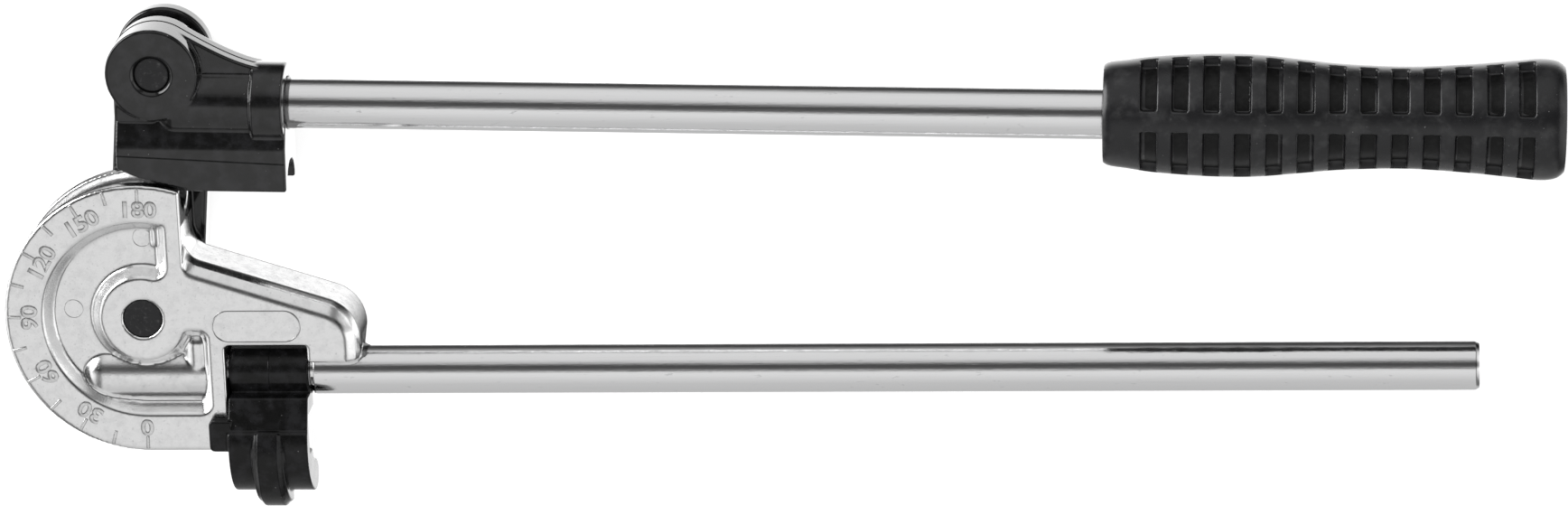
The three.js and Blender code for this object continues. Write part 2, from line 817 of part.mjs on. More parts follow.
// The shoe: a bar that widens to its seam, with the tube channel below and a clipped left corner.
function shoe() {
  const section = roundedShape([
    [-shoeTopDrop, -shoeTopHalf],
    [-shoeTopDrop, shoeTopHalf],
    [-shoeSeamDrop, shoeHalfWidth],
    [-shoeBottomDrop, shoeHalfWidth],
    [-shoeBottomDrop, -shoeHalfWidth],
    [-shoeSeamDrop, -shoeHalfWidth],
  ]);
  const clipped = roundedShape([
    [blockStart - overrun, -shoeLeftDrop],
    [blockStart, -shoeLeftDrop],
    [shoeKneeX, -shoeKneeDrop],
    [shoeReliefX, -shoeReliefDrop],
    [shoeReliefX, -shoeBottomDrop - overrun],
    [blockStart - overrun, -shoeBottomDrop - overrun],
  ]);
  return cut(
    solid(drawnAlongX(section, blockStart, shoeEnd, blockEdge)),
    solid(slab(clipped, -shoeHalfWidth - overrun, shoeHalfWidth + overrun)),
    cylinderX(tubeRadius + channelGap, blockStart - overrun, shoeEnd + overrun, -channelDrop),
  );
}

// The hub pin's hole, with a countersink in the front.
function hubPinHole() {
  const inner = hubPinRadius + pressGap;
  const profile = [
    [0, hubBackZ - overrun],
    [inner, hubBackZ - overrun],
    [inner, hubFrontZ - hubCountersink],
    [inner + hubCountersink, hubFrontZ],
    [inner + hubCountersink, hubFrontZ + overrun],
    [0, hubFrontZ + overrun],
  ];
  return solid(turned(profile));
}

// Where the upper handle's spring pin starts, behind the middle plane.
const upperPinStart = springPinRecess - socketRadius;

function makeHandleBlock() {
  const hub = solid(turned(pinProfile(hubRadius, hubBackZ, hubFrontZ, blockEdge)));
  return cut(
    joined(hub, underHub(), socket(), web(), shoe()),
    cylinderZ(linkRadius + linkClearance, -collarRadius - overrun, hubBackZ),
    hubPinHole(),
    cylinderX(handleRadius + pressGap, socketStart - sideGap, socketEnd + overrun, -socketDrop),
    springPinHole(upperPinX, -socketDrop, -collarRadius, upperPinStart + upperPinLength),
  );
}

function makeUpperHandle() {
  const profile = ringProfile(handleBore, handleRadius, socketStart, upperHandleEnd);
  const tube = solid(laidAlongX(turned(profile), -socketDrop));
  return cut(tube, springPinHole(upperPinX, -socketDrop, -handleRadius - overrun, handleRadius + overrun));
}

// The grip's radius at a place along it, between the rows of its profile.
function gripRadiusAt(place) {
  const share = place / gripLength;
  const next = gripShares.findIndex(([start]) => start > share);
  const [startBefore, before] = gripShares[next - 1];
  const [startAfter, after] = gripShares[next];
  const mixed = THREE.MathUtils.mapLinear(share, startBefore, startAfter, before, after);
  return mixed * gripRadius;
}

// The rings of slots round the grip, left out where its spines run.
function gripSlots() {
  const rings = [];
  for (let i = 0; i < slotCount; i += 1) {
    const middle = slotFirst + i * slotPitch;
    const inner = gripRadiusAt(middle) - slotDepth;
    const profile = ringProfile(inner, gripRadius + overrun, middle - slotWidth / 2, middle + slotWidth / 2);
    rings.push(solid(laidAlongX(turned(profile, gripSides))));
  }
  const spines = [];
  for (let i = 0; i < spineCount; i += 1) {
    const bar = block(
      [0, -spineWidth / 2, handleRadius],
      [gripLength, spineWidth / 2, gripRadius + 2 * overrun],
    );
    spines.push(solid(bar.rotateX(-radians(spineTurn + (360 * i) / spineCount))));
  }
  return cut(joined(...rings), ...spines);
}

function makeGrip() {
  const outside = gripShares.map(([place, radius]) => [radius * gripRadius, place * gripLength]);
  const bore = handleRadius + gripBoreGap;
  const profile = [
    [bore, 0],
    ...outside,
    [0, gripLength],
    [0, gripLength - gripEndWall],
    [bore, gripLength - gripEndWall],
    [bore, 0],
  ];
  return cut(solid(laidAlongX(turned(profile, gripSides))), gripSlots());
}

// A mesh set down at a place in its group.
function placed(mesh, x, y) {
  mesh.position.set(x, y, 0);
  return mesh;
}

function pivotPieces() {
  const washerLow = linkFrontZ + sideGap;
  return [
    piece("pivot_pin", makePin(pivotRadius, formerHalf - pinRecess), darkSteel),
    piece("pivot_washer", makeWasher(pivotRadius, pivotWasherRadius, washerLow), springSteel),
    piece("pivot_bush", makeBush(pivotRadius, linkFrontZ), bronze),
    piece("pivot_end_washer", makeEndWasher(pivotRadius), springSteel),
    piece("pivot_retaining_ring", makeRetainingRing(pivotRadius), springSteel),
  ];
}

function hubPieces() {
  const washerLow = linkBossZ + sideGap;
  return [
    piece("hub_pin", makePin(hubPinRadius, hubFrontZ - hubPinRecess), darkSteel),
    piece("hub_washer", makeWasher(hubPinRadius, hubWasherRadius, washerLow), springSteel),
    piece("hub_bush", makeBush(hubPinRadius, linkBossZ), bronze),
    piece("hub_end_washer", makeEndWasher(hubPinRadius), springSteel),
    piece("hub_retaining_ring", makeRetainingRing(hubPinRadius), springSteel),
  ].map((mesh) => placed(mesh, hubX, hubY));
}

function lowerPieces() {
  const lowerPin = makeSpringPin(lowerPinX, lowerHandleY, lowerPinEnd() - lowerPinLength, lowerPinLength);
  return [
    piece("former", makeFormer(), castAluminium),
    piece("lower_handle", makeLowerHandle(), plated),
    piece("lower_handle_pin", lowerPin, springSteel),
    piece("lower_handle_plug", makeLowerHandlePlug(), plated),
    piece("latch", makeLatch(), blackCasting),
    piece("link_arm", makeLink(), blackCasting),
  ];
}

// The upper lever, built from the hub along X and turned to its slope at rest.
function upperLever() {
  const lever = new THREE.Group();
  const grip = piece("grip", makeGrip(), blackRubber);
  const upperPin = makeSpringPin(upperPinX, -socketDrop, upperPinStart, upperPinLength);
  lever.add(
    piece("handle_block", makeHandleBlock(), blackCasting),
    piece("upper_handle", makeUpperHandle(), plated),
    piece("upper_handle_pin", upperPin, springSteel),
    placed(grip, gripStart, -socketDrop),
  );
  lever.position.set(hubX, hubY, 0);
  lever.rotation.z = radians(handleTurn);
  return lever;
}

const pliers = new THREE.Group();
pliers.add(...lowerPieces(), ...pivotPieces(), ...hubPieces(), upperLever());
pliers.position.z = middleHeight;

export default pliers;
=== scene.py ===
"""Tube bending pliers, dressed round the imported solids.

Sizes are in millimetres and angles in degrees. Each piece is modelled about the former's middle plane, or
about the hub for what turns with the upper lever, and is then set down in the frame in metres.
"""
import json
import logging
import math
from collections.abc import Callable, Iterator, Sequence
from contextlib import contextmanager
from dataclasses import dataclass
from enum import Enum

import bpy
from mathutils import Matrix, Vector


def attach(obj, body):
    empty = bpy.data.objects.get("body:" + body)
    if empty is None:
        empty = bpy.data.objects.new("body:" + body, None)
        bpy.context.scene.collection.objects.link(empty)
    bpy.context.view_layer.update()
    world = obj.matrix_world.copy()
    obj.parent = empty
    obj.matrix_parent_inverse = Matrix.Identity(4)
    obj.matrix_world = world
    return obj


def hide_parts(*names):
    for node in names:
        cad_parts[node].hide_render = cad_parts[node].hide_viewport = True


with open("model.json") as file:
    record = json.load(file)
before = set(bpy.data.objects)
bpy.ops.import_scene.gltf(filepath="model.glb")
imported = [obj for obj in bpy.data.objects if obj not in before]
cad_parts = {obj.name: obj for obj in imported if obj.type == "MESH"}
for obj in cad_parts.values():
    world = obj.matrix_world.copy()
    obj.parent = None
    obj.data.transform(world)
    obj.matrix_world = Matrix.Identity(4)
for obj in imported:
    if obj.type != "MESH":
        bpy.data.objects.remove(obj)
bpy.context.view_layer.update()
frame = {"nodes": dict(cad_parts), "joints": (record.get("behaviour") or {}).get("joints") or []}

MILLIMETRE = 0.001
TRIANGLE_LIMIT = 190_000
NEAR = 0.01
# How far a cutting piece reaches past what it cuts, or a joined piece into it
PAST = 1.0
WHITE = (1.0, 1.0, 1.0, 1.0)
LOG = logging.getLogger("pliers")

Piece = bpy.types.Object
Point = tuple[float, float]
Triple = tuple[float, float, float]
Test = Callable[[Vector], bool]


class Body(Enum):
    """The bodies that pieces ride on."""

    FORMER = "former_and_lower_lever"
    LINK = "link"
    LEVER = "shoe_and_upper_lever"
    HOOK = "hook"


class Slot(Enum):
    """The material slots of the record."""

    ALUMINIUM = "cast_aluminium"
    PLATED = "plated_steel"
    BLACK = "black_casting"
    DARK = "dark_steel"
    SPRING = "spring_steel"
    BRONZE = "bronze"
    RUBBER = "black_rubber"


# Outlines


def arc(centre: Point, radius: float, start: float, end: float, step: float = 3.0) -> list[Point]:
    """Points along an arc.

    Args:
        centre: Middle of the arc.
        radius: Its radius.
        start: Angle where it starts; it turns left if the end is larger.
        end: Angle where it ends.
        step: Largest turn between two points.

    Returns:
        The points, both ends included.
    """
    count = max(2, math.ceil(abs(end - start) / step))
    angles = [math.radians(start + (end - start) * i / count) for i in range(count + 1)]
    return [(centre[0] + radius * math.cos(a), centre[1] + radius * math.sin(a)) for a in angles]


def rounded(corners: Sequence[tuple[float, ...]], step: float = 6.0) -> list[Point]:
    """An outline through corners, each rounded by its own radius.

    Args:
        corners: Rows of x, y and, where the corner is rounded, its radius.
        step: Largest turn between two points of a rounded corner.

    Returns:
        The outline's points.
    """
    points: list[Point] = []
    for i, corner in enumerate(corners):
        here = Vector(corner[:2])
        radius = corner[2] if len(corner) > 2 else 0.0
        if radius == 0:
            points.append((here.x, here.y))
            continue
        back = (Vector(corners[i - 1][:2]) - here).normalized()
        ahead = (Vector(corners[(i + 1) % len(corners)][:2]) - here).normalized()
        half = back.angle(ahead) / 2
        middle = here + (back + ahead).normalized() * radius / math.sin(half)
        first = here + back * radius / math.tan(half) - middle
        last = here + ahead * radius / math.tan(half) - middle
        start = math.degrees(math.atan2(first.y, first.x))
        turn = math.degrees(math.atan2(first.cross(last), first.dot(last)))
        points += arc((middle.x, middle.y), radius, start, start + turn, step)
    return points


def even_shares(count: int) -> list[float]:
    """The shares from 0 to 1 in this many even steps."""
    return [i / count for i in range(count + 1)]


def on_axis(*points: Point) -> list[Point]:
    """A half section closed along the axis."""
    return [(0, points[0][1]), *points, (0, points[-1][1])]


def pin_profile(radius: float, low: float, high: float, edge: float = 0.0) -> list[Point]:
    """The half section of a pin.

    Args:
        radius: Radius of the pin.
        low: Height of its lower end.
        high: Height of its upper end.
        edge: Radius of its broken edges.

    Returns:
        Points of radius and height.
    """
    if edge == 0:
        return on_axis((radius, low), (radius, high))
    lower = arc((radius - edge, low + edge), edge, -90, 0, step=30)
    upper = arc((radius - edge, high - edge), edge, 0, 90, step=30)
    return on_axis(*lower, *upper)


def ring_profile(inner: float, outer: float, low: float, high: float, edge: float = 0.0) -> list[Point]:
    """The half section of a ring between two heights, its corners rounded by an edge radius."""
    corners = [(inner, low, edge), (outer, low, edge), (outer, high, edge), (inner, high, edge)]
    return rounded(corners, step=30)


# Modelling


def choose(piece: Piece) -> None:
    """Makes a piece the only one selected, and the active one.

    Args:
        piece: The piece.
    """
    bpy.ops.object.select_all(action="DESELECT")
    bpy.context.view_layer.objects.active = piece
    piece.select_set(True)


@contextmanager
def editing(piece: Piece, mode: str = "VERT") -> Iterator[None]:
    """Edit mode on one piece.

    Args:
        piece: The piece to edit.
        mode: What is selected there: VERT, EDGE or FACE.

    Yields:
        Nothing, while the mode lasts.
    """
    choose(piece)
    bpy.context.tool_settings.mesh_select_mode = [mode == kind for kind in ("VERT", "EDGE", "FACE")]
    bpy.ops.object.mode_set(mode="EDIT")
    yield
    bpy.ops.object.mode_set(mode="OBJECT")


def select_where(piece: Piece, kind: str, test: Test) -> None:
    """Selects the edges or faces whose middle passes a test.

    Args:
        piece: The piece, in object mode.
        kind: EDGE or FACE.
        test: Says yes or no to the middle of an edge or face.
    """
    mesh = piece.data
    for group in (mesh.vertices, mesh.edges, mesh.polygons):
        group.foreach_set("select", [False] * len(group))
    spots = [vertex.co for vertex in mesh.vertices]
    for item in mesh.edges if kind == "EDGE" else mesh.polygons:
        corners = [spots[i] for i in item.vertices]
        if test(sum(corners, Vector()) / len(corners)):
            item.select = True
            for i in item.vertices:
                mesh.vertices[i].select = True


def tidy(piece: Piece, merge: float = 1e-4) -> Piece:
    """Merges doubled points, drops loose edges and turns every face outwards.

    Args:
        piece: The piece.
        merge: Points nearer than this become one.

    Returns:
        The piece.
    """
    with editing(piece):
        bpy.ops.mesh.select_all(action="SELECT")
        bpy.ops.mesh.remove_doubles(threshold=merge)
        bpy.ops.mesh.delete_loose(use_verts=True, use_edges=True, use_faces=False)
        bpy.ops.mesh.select_all(action="SELECT")
        bpy.ops.mesh.normals_make_consistent(inside=False)
    return piece


def outline_piece(name: str, points: Sequence[Sequence[float]], fill: str) -> Piece:
    """A loop of points as a new piece.

    Args:
        name: Name of the piece.
        points: Places of the loop's points.
        fill: NGON for a face, or NOTHING for bare edges.

    Returns:
        The piece.
    """
    bpy.ops.object.select_all(action="DESELECT")
    bpy.ops.mesh.primitive_circle_add(vertices=len(points), fill_type=fill)
    piece = bpy.context.active_object
    piece.name = piece.data.name = name
    for vertex, point in zip(piece.data.vertices, points):
        vertex.co = point
    return piece


def prism(name: str, outline: Sequence[Point], low: float, high: float) -> Piece:
    """An outline given thickness along Z.

    Args:
        name: Name of the piece.
        outline: Points in X and Y.
        low: Height of its underside.
        high: Height of its top.

    Returns:
        The closed piece.
    """
    piece = outline_piece(name, [(x, y, low) for x, y in outline], "NGON")
    with editing(piece, "FACE"):
        bpy.ops.mesh.select_all(action="SELECT")
        bpy.ops.mesh.extrude_region_move(TRANSFORM_OT_translate={"value": (0, 0, high - low)})
    return tidy(piece)


def turned(name: str, profile: Sequence[Point], steps: int = 128, angle: float = 360.0) -> Piece:
    """A half section turned about Z.

    Args:
        name: Name of the piece.
        profile: Points of radius and height, closed on itself or on the axis.
        steps: Number of steps round the axis.
        angle: How far it is turned.

    Returns:
        The closed piece.
    """
    whole = angle == 360.0
    piece = outline_piece(name, [(r, 0, h) for r, h in profile], "NOTHING" if whole else "NGON")
    with editing(piece, "EDGE" if whole else "FACE"):
        bpy.ops.mesh.select_all(action="SELECT")
        bpy.ops.mesh.spin(steps=steps, angle=-math.radians(angle), center=(0, 0, 0), axis=(0, 0, 1))
    return tidy(piece)


def moved(piece: Piece, *matrices: Matrix) -> Piece:
    """Moves a piece's mesh.

    Args:
        piece: The piece.
        matrices: The moves, in their order.

    Returns:
        The piece.
    """
    for matrix in matrices:
        piece.data.transform(matrix)
    piece.data.update()
    return piece


def along_x(piece: Piece, y: float = 0.0, z: float = 0.0) -> Piece:
    """Lays a piece made about Z along X instead, so that heights become places along X."""
    return moved(piece, Matrix.Rotation(math.radians(90), 4, "Y"), Matrix.Translation((0, y, z)))


def drawn_along_x(name: str, section: Sequence[Point], low: float, high: float) -> Piece:
    """A section in Y and Z drawn out along X."""
    axes = Matrix(((0, 0, 1, 0), (1, 0, 0, 0), (0, 1, 0, 0), (0, 0, 0, 1)))
    return moved(prism(name, section, low, high), axes)


def block(low: Sequence[float], high: Sequence[float]) -> Piece:
    """A block between two corners."""
    corners = [(low[0], low[1]), (high[0], low[1]), (high[0], high[1]), (low[0], high[1])]
    return prism("block", corners, low[2], high[2])


def apply_modifier(piece: Piece, kind: str, **settings: object) -> Piece:
    """Adds a modifier and applies it.

    Args:
        piece: The piece.
        kind: Type of the modifier.
        settings: Its settings by name.

    Returns:
        The piece.
    """
    modifier = piece.modifiers.new(kind, kind)
    for name, value in settings.items():
        setattr(modifier, name, value)
    choose(piece)
    bpy.ops.object.modifier_apply(modifier=modifier.name)
    return piece


def combined(piece: Piece, operation: str, tools: Sequence[Piece]) -> Piece:
    """Joins tools to a piece or cuts them from it, and takes the tools away.

    Args:
        piece: The piece that stays.
        operation: UNION or DIFFERENCE.
        tools: The pieces that are joined or cut.

    Returns:
        The piece.
    """
    for tool in tools:
        apply_modifier(piece, "BOOLEAN", operation=operation, object=tool, solver="MANIFOLD")
        bpy.data.objects.remove(tool)
    return piece


def joined(piece: Piece, *tools: Piece) -> Piece:
    """The piece with the tools joined to it."""
    return combined(piece, "UNION", tools)


def cut(piece: Piece, *tools: Piece) -> Piece:
    """The piece with the tools cut from it."""
    return combined(piece, "DIFFERENCE", tools)


def bevelled(piece: Piece, test: Test, width: float, segments: int = 4) -> Piece:
    """Rounds some edges of a piece.

    Args:
        piece: The piece.
        test: Says yes or no to the middle of an edge.
        width: How far the rounding reaches from the edge.
        segments: Number of faces across it.

    Returns:
        The piece.
    """
    select_where(piece, "EDGE", test)
    with editing(piece, "EDGE"):
        bpy.ops.mesh.bevel(offset=width, segments=segments, affect="EDGES", clamp_overlap=True)
    return piece


def rounded_edges(piece: Piece, width: float, segments: int = 3, sharp: float = 40.0) -> Piece:
    """Rounds every edge of a piece that turns by more than the sharp angle."""
    limit = {"limit_method": "ANGLE", "angle_limit": math.radians(sharp)}
    return apply_modifier(piece, "BEVEL", width=width, segments=segments, **limit)


def cast(piece: Piece, grain: float, passes: int) -> Piece:
    """Gives a piece the soft edges and fillets of a casting.

    Args:
        piece: The piece, closed.
        grain: Size of the cells that it is made of afterwards.
        passes: How often its surface is smoothed.

    Returns:
        The piece.
    """
    apply_modifier(piece, "REMESH", mode="VOXEL", voxel_size=grain)
    apply_modifier(piece, "SMOOTH", factor=0.5, iterations=passes)
    triangles = sum(len(face.vertices) - 2 for face in piece.data.polygons)
    if triangles > TRIANGLE_LIMIT:
        apply_modifier(piece, "DECIMATE", ratio=TRIANGLE_LIMIT / triangles)
    return piece


def cylinder_x(radius: float, low: float, high: float, y: float, steps: int = 96) -> Piece:
    """A plain cylinder along X, to join or cut."""
    return along_x(turned("cylinder", pin_profile(radius, low, high), steps), y)


def spring_pin_hole(sizes: Triple, y: float, low: float = -12.0) -> Piece:
    """A spring pin's blind hole from behind.

    Args:
        sizes: Its place along X, its radius and the height of its end.
        y: Its place along Y.
        low: Where it starts, behind the casting.

    Returns:
        The piece to cut.
    """
    x, radius, top = sizes
    hole = turned("spring_pin_hole", pin_profile(radius, low, top), steps=32)
    return moved(hole, Matrix.Translation((x, y, 0)))


def merged(name: str, parts: Sequence[Piece]) -> Piece:
    """Several separate parts as one piece.

    Args:
        name: Name of the piece.
        parts: The parts, which go into it.

    Returns:
        The piece.
    """
    choose(parts[0])
    for part in parts[1:]:
        part.select_set(True)
    bpy.ops.object.join()
    whole = bpy.context.active_object
    whole.name = whole.data.name = name
    return whole


def added(name: str, data: bpy.types.ID) -> Piece:
    """A new object of the scene that holds a curve, a camera or a lamp.

    Args:
        name: Name of the object.
        data: What it holds.

    Returns:
        The object.
    """
    made = bpy.data.objects.new(name, data)
    bpy.context.scene.collection.objects.link(made)
    return made


def meshed(name: str, curve: bpy.types.Curve) -> Piece:
    """A curve or a text as a closed mesh.

    Args:
        name: Name of the piece.
        curve: The curve or the text.

    Returns:
        The piece.
    """
    piece = added(name, curve)
    choose(piece)
    bpy.ops.object.convert(target="MESH")
    return tidy(piece)


def wire(name: str, path: Sequence[Sequence[float]], radius: float, closed: bool = True) -> Piece:
    """A thin raised line.

    Args:
        name: Name of the piece.
        path: Places along it in X, Y and Z.
        radius: Half its thickness.
        closed: Whether it runs back to its start.

    Returns:
        The piece.
    """
    curve = bpy.data.curves.new(name, "CURVE")
    curve.dimensions = "3D"
    curve.bevel_depth = radius
    curve.bevel_resolution = 2
    curve.use_fill_caps = not closed
    spline = curve.splines.new("POLY")
    spline.points.add(len(path) - 1)
    spline.use_cyclic_u = closed
    for point, place in zip(spline.points, path):
        point.co = (*place, 1)
    return meshed(name, curve)


# Materials


class Value:
    """A shader socket that adds Math nodes when it is used in an expression."""

    def __init__(self, graph: "Graph", socket: bpy.types.NodeSocket) -> None:
        """Wraps one socket of a graph."""
        self.graph = graph
        self.socket = socket

    def math(self, operation: str, *values: object) -> "Value":
        """The result of a Math node on these values."""
        inputs = dict(enumerate(values))
        return self.graph.node("ShaderNodeMath", {"operation": operation}, inputs)

    def __add__(self, other: object) -> "Value":
        """The sum."""
        return self.math("ADD", self, other)

    __radd__ = __add__

    def __mul__(self, other: object) -> "Value":
        """The product."""
        return self.math("MULTIPLY", self, other)

    __rmul__ = __mul__

    def __sub__(self, other: object) -> "Value":
        """The difference."""
        return self.math("SUBTRACT", self, other)

    def __rsub__(self, other: object) -> "Value":
        """The difference from a number."""
        return self.math("SUBTRACT", other, self)

    def __truediv__(self, other: object) -> "Value":
        """The quotient."""
        return self.math("DIVIDE", self, other)

    def clamped(self) -> "Value":
        """The value kept between 0 and 1."""
        return self.math("MAXIMUM", self.math("MINIMUM", self, 1.0), 0.0)

    def between(self, low: float, high: float) -> "Value":
        """0 below low, 1 above high, and smooth from one to the other."""
        settings = {"interpolation_type": "SMOOTHSTEP"}
        return self.graph.node("ShaderNodeMapRange", settings, {"Value": self, 1: low, 2: high})


class Graph:
    """The nodes of one material or of the world."""

    def __init__(self, owner: bpy.types.Material | bpy.types.World) -> None:
        """Empties the owner's nodes.

        Args:
            owner: A material or a world.
        """
        owner.use_nodes = True
        self.tree = owner.node_tree
        self.tree.nodes.clear()

    def node(self, kind: str, settings: dict, inputs: dict, output: int | str = 0) -> Value:
        """Adds a node.

        Args:
            kind: Type of the node.
            settings: Its properties; stops is a list of places and grey levels of a ramp.
            inputs: Values or wrapped sockets by the name or number of its inputs.
            output: The output that is wanted.

        Returns:
            That output.
        """
        made = self.tree.nodes.new(kind)
        stops = settings.pop("stops", None)
        for name, value in settings.items():
            setattr(made, name, value)
        if stops:
            self.set_stops(made.color_ramp, stops)
        for name, value in inputs.items():
            if isinstance(value, Value):
                self.tree.links.new(value.socket, made.inputs[name])
            else:
                made.inputs[name].default_value = value
        return Value(self, made.outputs[output]) if made.outputs else Value(self, None)

    @staticmethod
    def set_stops(ramp: bpy.types.ColorRamp, stops: Sequence[Point]) -> None:
        """Gives a ramp its stops.

        Args:
            ramp: The ramp.
            stops: Rows of a place from 0 to 1 and a grey level.
        """
        while len(ramp.elements) < len(stops):
            ramp.elements.new(1.0)
        for element, (place, level) in zip(ramp.elements, stops):
            element.position = place
            element.color = (level, level, level, 1.0)

    def spot(self, scale: Sequence[float] = (1, 1, 1)) -> Value:
        """Object coordinates in millimetres, stretched by a scale along each axis.

        Args:
            scale: How far the pattern is squeezed along each axis.

        Returns:
            The place.
        """
        place = self.node("ShaderNodeTexCoord", {}, {}, "Object")
        factors = [s / MILLIMETRE for s in scale]
        return self.node("ShaderNodeVectorMath", {"operation": "MULTIPLY"}, {0: place, 1: factors})

    def noise(self, spot: Value, scale: float, detail: float = 2.0, roughness: float = 0.5) -> Value:
        """Noise over a place, from about 0.3 to 0.7."""
        inputs = {"Vector": spot, "Scale": scale, "Detail": detail, "Roughness": roughness}
        return self.node("ShaderNodeTexNoise", {}, inputs, "Fac")

    def mix(self, share: Value, first: Triple | Value, second: Triple) -> Value:
        """The mix of two colours.

        Args:
            share: The second colour's share.
            first: A colour, or the mix of two others.
            second: A colour.

        Returns:
            The mixed colour.
        """
        start = first if isinstance(first, Value) else (*first, 1.0)
        return self.node("ShaderNodeMix", {"data_type": "RGBA"}, {0: share, 6: start, 7: (*second, 1.0)}, 2)

    def measure(self, operation: str, *vectors: Value | Triple) -> Value:
        """A number that comes from one or two vectors."""
        return self.node("ShaderNodeVectorMath", {"operation": operation}, dict(enumerate(vectors)), "Value")

    def axis(self, vector: Value, name: str) -> Value:
        """One of a vector's parts: X, Y or Z."""
        return self.node("ShaderNodeSeparateXYZ", {}, {"Vector": vector}, name)

    def ray(self, kind: str) -> Value:
        """1 for rays of this kind, such as Camera, and 0 for others."""
        return self.node("ShaderNodeLightPath", {}, {}, f"Is {kind} Ray")

    def blend(self, share: Value, first: Value, second: Value) -> Value:
        """The mix of two shaders."""
        return self.node("ShaderNodeMixShader", {}, {0: share, 1: first, 2: second})

    def bump(self, height: Value, distance: float, strength: float = 1.0) -> Value:
        """A surface normal raised by a height, in millimetres."""
        inputs = {"Strength": strength, "Distance": distance * MILLIMETRE, "Height": height}
        return self.node("ShaderNodeBump", {}, inputs)

    def shader(self, **inputs: object) -> Value:
        """A surface shader; underscores in the names stand for spaces."""
        named = {name.replace("_", " "): value for name, value in inputs.items()}
        return self.node("ShaderNodeBsdfPrincipled", {}, named)

    def finish(self, shader: Value) -> None:
        """Makes a shader the material's surface."""
        self.node("ShaderNodeOutputMaterial", {}, {"Surface": shader})

    def surface(self, **inputs: object) -> None:
        """The whole surface as one shader."""
        self.finish(self.shader(**inputs))


@dataclass(frozen=True)
class Finish:
    """A finish: how one kind of surface looks."""

    name: str
    slot: Slot

    def material(self) -> bpy.types.Material:
        """The finish as a material, made once.

        Returns:
            The material.
        """
        found = bpy.data.materials.get(self.name)
        if found:
            return found
        made = bpy.data.materials.new(self.name)
        self.paint(Graph(made))
        return made

    def paint(self, graph: Graph) -> None:
        """Builds the nodes."""
        raise NotImplementedError


@dataclass(frozen=True)
class CastMetal(Finish):
    """Bright die-cast aluminium: satin, slightly mottled, with fine pits."""

    pale: Triple = (0.95, 0.95, 0.95)
    dull: Triple = (0.84, 0.84, 0.845)
    shine: float = 0.11
    shine_change: float = 0.12
    hollow_radius: float = 24.3
    hollow_right: float = 10.8
    hollow_top: float = -3.5
    hollow_blends: Triple = (0.6, 0.8, 1.0)

    def paint(self, graph: Graph) -> None:
        """Mottling at two scales, with fine pits, and a painted reflection: the pocket's walls get a bright
        grazing tint and the faces and sides outside the pocket none, so that they look duller.

        Args:
            graph: The material's nodes.
        """
        spot = graph.spot()
        radius = graph.measure("LENGTH", graph.spot((1, 1, 0)))
        edges = (self.hollow_radius, self.hollow_right, self.hollow_top)
        places = (radius, graph.axis(spot, "X"), graph.axis(spot, "Y"))
        beyond, right, above = (
            place.between(edge, edge + blend) for place, edge, blend in zip(places, edges, self.hollow_blends)
        )
        outside = (beyond + right * above).clamped()
        cloud = graph.noise(spot, 0.35, 5.0, 0.7)
        grain = graph.noise(spot, 2.6, 3.0, 0.65)
        pits = graph.noise(spot, 1.6, 1.0).between(0.7, 0.75)
        dullness = (cloud.between(0.4, 0.7) * 0.6 + pits * 0.6).clamped()
        looks = {
            "Base_Color": graph.mix(dullness, self.pale, self.dull),
            "Metallic": 1.0,
            "Roughness": self.shine + self.shine_change * cloud.between(0.3, 0.7) + 0.2 * (grain - 0.5),
            "Normal": graph.bump(grain - 0.6 * pits, 0.05, 0.35),
        }
        # Painted reflection: one aluminium in two copies, a bright grazing tint inside the pocket and none
        # outside it
        walls = graph.shader(**looks, Specular_Tint=(0.9, 0.9, 0.9, 1))
        sides = graph.shader(**looks, Specular_Tint=(0, 0, 0, 1))
        graph.finish(graph.blend(outside, walls, sides))


@dataclass(frozen=True)
class Plating(Finish):
    """Bright plating on a drawn tube: mirror-like, with faint lines along the tube."""

    pale: Triple = (0.93, 0.93, 0.935)
    dull: Triple = (0.8, 0.8, 0.81)

    def paint(self, graph: Graph) -> None:
        """Drawing lines along X and a few dull flecks.

        Args:
            graph: The material's nodes.
        """
        lines = graph.noise(graph.spot((0.012, 1, 1)), 2.6, 3.0, 0.7)
        flecks = graph.noise(graph.spot((0.35, 1, 1)), 1.1, 2.0, 0.6).between(0.66, 0.76)
        ripple = graph.noise(graph.spot((0.3, 1, 1)), 0.9, 3.0, 0.7)
        dullness = (flecks * 0.8 + lines.between(0.55, 0.8) * 0.4).clamped()
        graph.surface(
            Base_Color=graph.mix(dullness, self.pale, self.dull),
            Metallic=1.0,
            Roughness=0.06 + 0.08 * lines + 0.16 * flecks,
            Normal=graph.bump(lines + ripple, 0.035, 0.5),
        )


@dataclass(frozen=True)
class Coating(Finish):
    """Black coating on a casting: half gloss, uneven, with a little dust."""

    black: Triple = (0.004, 0.004, 0.004)
    worn: Triple = (0.012, 0.012, 0.013)
    dust: Triple = (0.2, 0.2, 0.2)
    shine: float = 0.04
    reflection: float = 0.5
    coat: float = 0.3

    def paint(self, graph: Graph) -> None:
        """Cloudy gloss, a fine orange peel and specks of dust.

        Args:
            graph: The material's nodes.
        """
        spot = graph.spot()
        cloud = graph.noise(spot, 0.3, 3.0, 0.6)
        peel = graph.noise(spot, 0.9, 3.0, 0.6)
        dust = graph.noise(spot, 1.9, 0.0).between(0.86, 0.9)
        base = graph.mix(cloud.between(0.4, 0.7), self.black, self.worn)
        graph.surface(
            Base_Color=graph.mix(dust * 0.7, base, self.dust),
            Metallic=0.0,
            Roughness=(self.shine + 0.16 * cloud + 0.3 * dust).clamped(),
            Specular_IOR_Level=self.reflection,
            Coat_Weight=self.coat,
            Coat_Roughness=0.05,
            Normal=graph.bump(peel + dust, 0.045, 0.35),
        )


